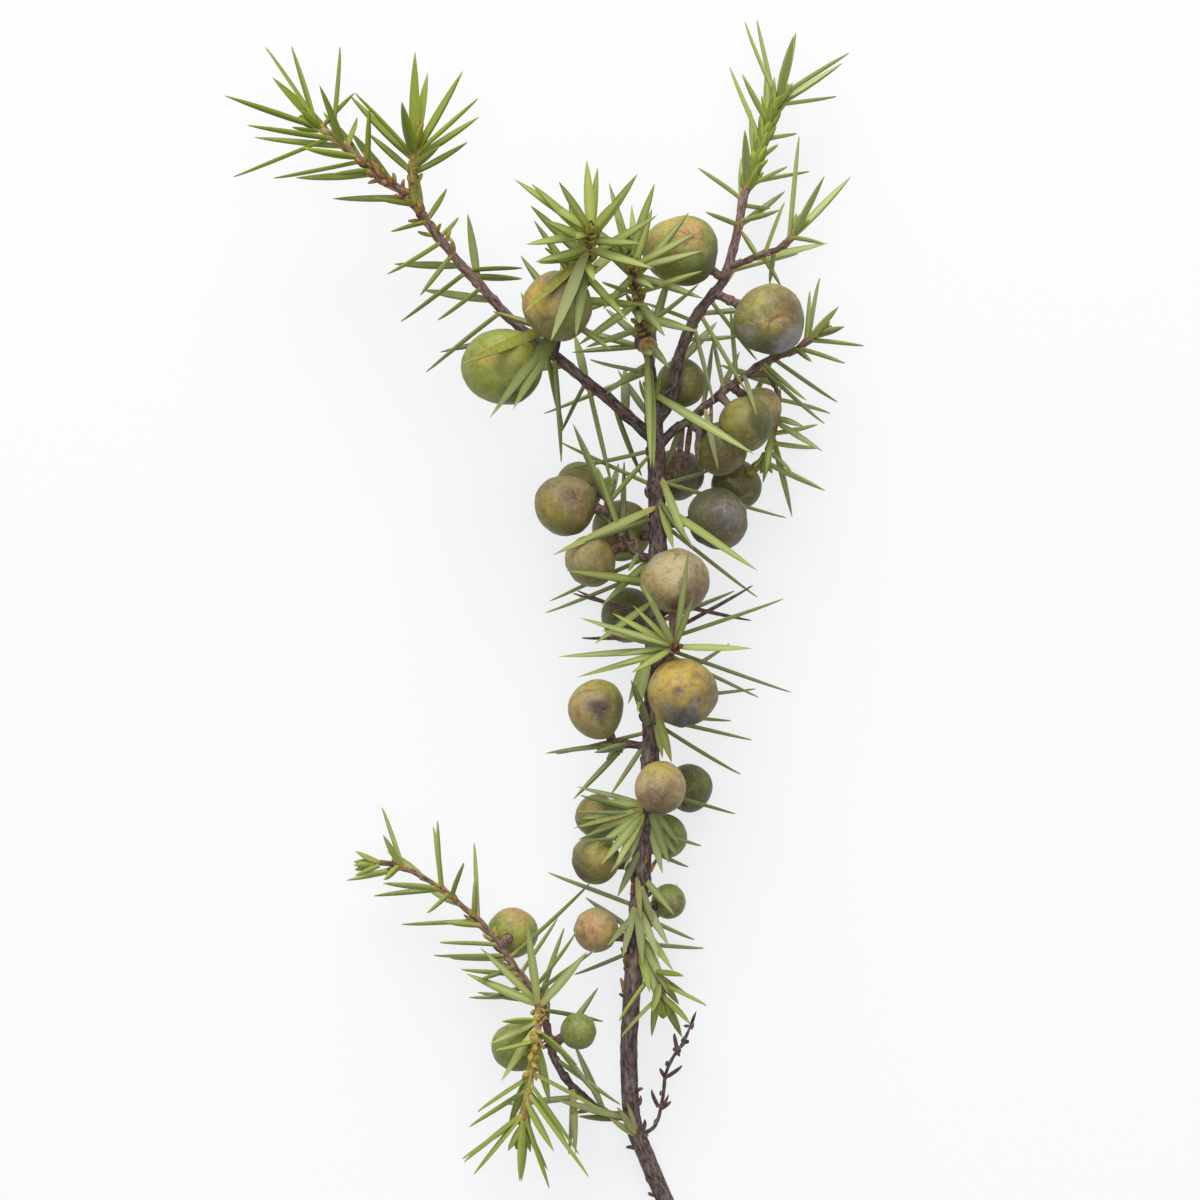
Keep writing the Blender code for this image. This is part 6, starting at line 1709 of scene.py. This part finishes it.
def leaf_cushions(twig, needles, cushion, draw):
    """A cushion under each needle of a twig, and the scars of old leaves beside its whorls."""
    axis = AXES[twig.name]
    marks = []
    for needle in needles:
        station = axis.nearest(needle.root)
        marks.append((station, square_to(axis.at(station)[1], needle.direction), 1.0, 1.0))
    for knot in KNOTS[twig.name]:
        _, heading, side = axis.at(knot)
        for _ in range(WHORL):
            outward = around(side, heading, draw.uniform(0, 360))
            marks.append((knot, outward, draw.uniform(*OLD_SCAR_SIZES), OLD_SCAR_FOOT))
    for station, outward, size, foot in marks:
        centre, heading, _ = axis.at(station)
        place = centre + outward * bark_radius(twig, station) * FOOT_SHARE
        yield place_copy(cushion, laid(place, heading, outward, (size, size, size)), foot=foot)


def stalk_scales(berry, cushion):
    """The scales on a berry's stalk, close to the berry."""
    root, centre = berry_root(berry), berry_place(berry)
    heading = (centre - root).normalized()
    gap = (centre - root).length - berry.diameter / 2
    for scale in range(STALK_SCALES):
        turn = WHORL_TURN * (scale % 2) + NEEDLE_TURN * scale
        outward = around(heading.orthogonal().normalized(), heading, turn)
        up = gap - STALK_SCALE_BACK - STALK_SCALE_GAP * (scale // WHORL)
        place = root + heading * up + outward * STALK_RADIUS * STALK_SCALE_FOOT
        yield place_copy(cushion, laid(place, heading, outward, STALK_SCALE_SIZE),
                         foot=STALK_SCALE_TONE)


def twig_wood(twig, needles, cushion, draw):
    """A twig's bark with a leaf cushion under each needle, old leaf scars, and its berries' stalks."""
    wood = model_wood(twig)
    parts = [wood, *(model_stalk(berry) for berry in berries_of(twig))]
    if twig.name == STUMP_TWIG:
        parts.append(model_stump())
    for part in parts:
        set_tone(part.data, "foot", 0.0)
        set_tone(part.data, "cut", 0.0)
    if twig.parent is None:
        mark_cut(twig, wood)
    if twig.name == STUMP_TWIG:
        mark_stump(parts[-1])
    parts += leaf_cushions(twig, needles, cushion, draw)
    for berry in berries_of(twig):
        parts += stalk_scales(berry, cushion)
    bark = joined(twig.name + "_bark", parts)
    along, grain = straightened(twig, points_of(bark.data))
    set_field(bark.data, "grain", "FLOAT_VECTOR", "vector", grain)
    share = np.clip(along / AXES[twig.name].length, 0, 1)
    set_tone(bark.data, "youth", blend(TONES[twig.name].youth, share))
    return bark


def dress_twig(twig, needles, blades, cushion, finishes, draw):
    """Makes a twig's bark and needles, which stand for its solid."""
    settle(twig_wood(twig, needles, cushion, draw), finishes, "bark", twig.name)
    leaves = twig_leaves(twig, needles, blades, draw)
    settle(joined(twig.name + "_needles", leaves), finishes, "needles", twig.name)


# The size of a berry's lumps in mm and their height as a share of its radius
BERRY_LUMPS = 3.0
BERRY_UNEVENNESS = 0.11


def dress_berry(berry, name, models, finishes, draw):
    """Makes one berry, turned with its tip away from its stalk, with what shows on its skin."""
    look = BERRY_LOOKS[name]
    centre = berry_place(berry)
    heading = Vector(look.tip or centre - berry_root(berry)).normalized()
    side = around(heading.orthogonal().normalized(), heading, draw.uniform(0, LOBE_TURN))
    size = berry.diameter / 2
    turn = Matrix.Diagonal((*look.stretch, 1)) @ facing(heading, side).to_4x4() @ Matrix.Scale(size, 4)
    made = place_copy(models[look.model], Matrix.Translation(row_place(centre)) @ turn)
    made.name = made.data.name = "fruit_" + name
    roughen(made, BERRY_LUMPS, BERRY_UNEVENNESS * size)
    if berry.place[2] is RESTS:
        choose_only(made)
        bpy.ops.object.mode_set(mode="EDIT")
        choose_points(made, lambda p: p.z < 0)
        widen(1, 0)
        bpy.ops.object.mode_set(mode="OBJECT")
    directions = points_of(made.data) - np.array(row_place(centre))
    directions /= np.linalg.norm(directions, axis=1)[:, None]
    skin, bloom, mottled = painted_skin(look, directions, centre)
    set_field(made.data, "skin", "FLOAT_COLOR", "color", skin)
    set_tone(made.data, "bloom", bloom)
    set_tone(made.data, "mottled", mottled)
    settle(made, finishes, "berry_skin", "berry_" + name)


def settle(made, finishes, slot, node):
    """Gives a piece its finish, fixes it to the root body and hides the solid that it stands for."""
    made.data.materials.clear()
    made.data.materials.append(finishes[slot])
    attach(made, "root")
    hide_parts(node)


def dress_sprig():
    """Every twig and every berry, then the models that were copied are taken away."""
    finishes = {"bark": bark_finish(), "needles": needle_finish(), "berry_skin": berry_finish()}
    blades = [model_blade(f"blade {number}", bow) for number, bow in enumerate(BOWS)]
    cushion = model_cushion()
    berry_models = [model_berry(*shape) for shape in BERRY_SHAPES]
    draw = random.Random(SEED)
    needles = place_needles()
    for twig in TWIGS:
        dress_twig(twig, needles[twig.name], blades, cushion, finishes, draw)
    counts = {}
    for berry in BERRIES:
        counts[berry.twig] = counts.get(berry.twig, 0) + 1
        dress_berry(berry, f"{berry.twig}_{counts[berry.twig]}", berry_models, finishes, draw)
    for model in (*blades, cushion, *berry_models):
        bpy.data.objects.remove(model)


# The camera, straight above the sprig: the picture's middle, its width at the sprig, the camera's
# distance from the sprig and height above the surface, and how far it sees, in metres
PICTURE_MIDDLE = (-DRAWN_MIDDLE[0] * MM, -DRAWN_MIDDLE[1] * MM)
PICTURE_WIDTH = 0.132
CAMERA_DISTANCE = 0.9
CAMERA_HEIGHT = 0.912
CAMERA_REACH = 20
SENSOR = 36.0
# The surface that it lies on: size and level in metres, shade and glow
FLOOR_SIZE = 6
FLOOR_LEVEL = -0.0001
FLOOR_SHADE = 0.2
GLOW = 0.74
# The light: the sky's colour and strength, and each lamp's name, place, size and power
NEARLY_WHITE = (0.98, 0.99, 1, 1)
SKY = 0.36
LIGHTS = [
    ("window", (-0.1, 0.85, 0.62), 0.8, 12.2),
    ("overhead", (0.0, 0.1, 1.3), 0.7, 5.4),
]


def set_stage():
    """A plain pale floor with a faint glow, soft light from the top of the picture, and the camera."""
    bpy.ops.object.select_all(action="DESELECT")
    bpy.ops.mesh.primitive_plane_add(size=FLOOR_SIZE, location=(0, 0, FLOOR_LEVEL))
    floor = bpy.context.object
    floor.name = "floor"
    finish = Finish("pale floor", Base_Color=(FLOOR_SHADE, FLOOR_SHADE, FLOOR_SHADE, 1),
                    Roughness=0.9, Specular_IOR_Level=0.1,
                    Emission_Color=NEARLY_WHITE, Emission_Strength=GLOW)
    floor.data.materials.append(finish.material)
    world = bpy.data.worlds.new("soft sky")
    world.use_nodes = True
    sky = world.node_tree.nodes["Background"].inputs
    sky["Color"].default_value = NEARLY_WHITE
    sky["Strength"].default_value = SKY
    bpy.context.scene.world = world
    for name, place, size, power in LIGHTS:
        turn = (-Vector(place)).to_track_quat("-Z", "Y").to_euler()
        bpy.ops.object.light_add(type="AREA", location=place, rotation=turn)
        light = bpy.context.object
        light.name = name
        light.data.size = size
        light.data.energy = power
    bpy.ops.object.camera_add(location=(*PICTURE_MIDDLE, CAMERA_HEIGHT), rotation=(0, 0, 0))
    camera = bpy.context.object
    camera.data.sensor_width = SENSOR
    camera.data.lens = SENSOR * CAMERA_DISTANCE / PICTURE_WIDTH
    camera.data.clip_end = CAMERA_REACH
    bpy.context.scene.camera = camera
    bpy.context.scene.view_settings.view_transform = "Standard"


dress_sprig()
set_stage()
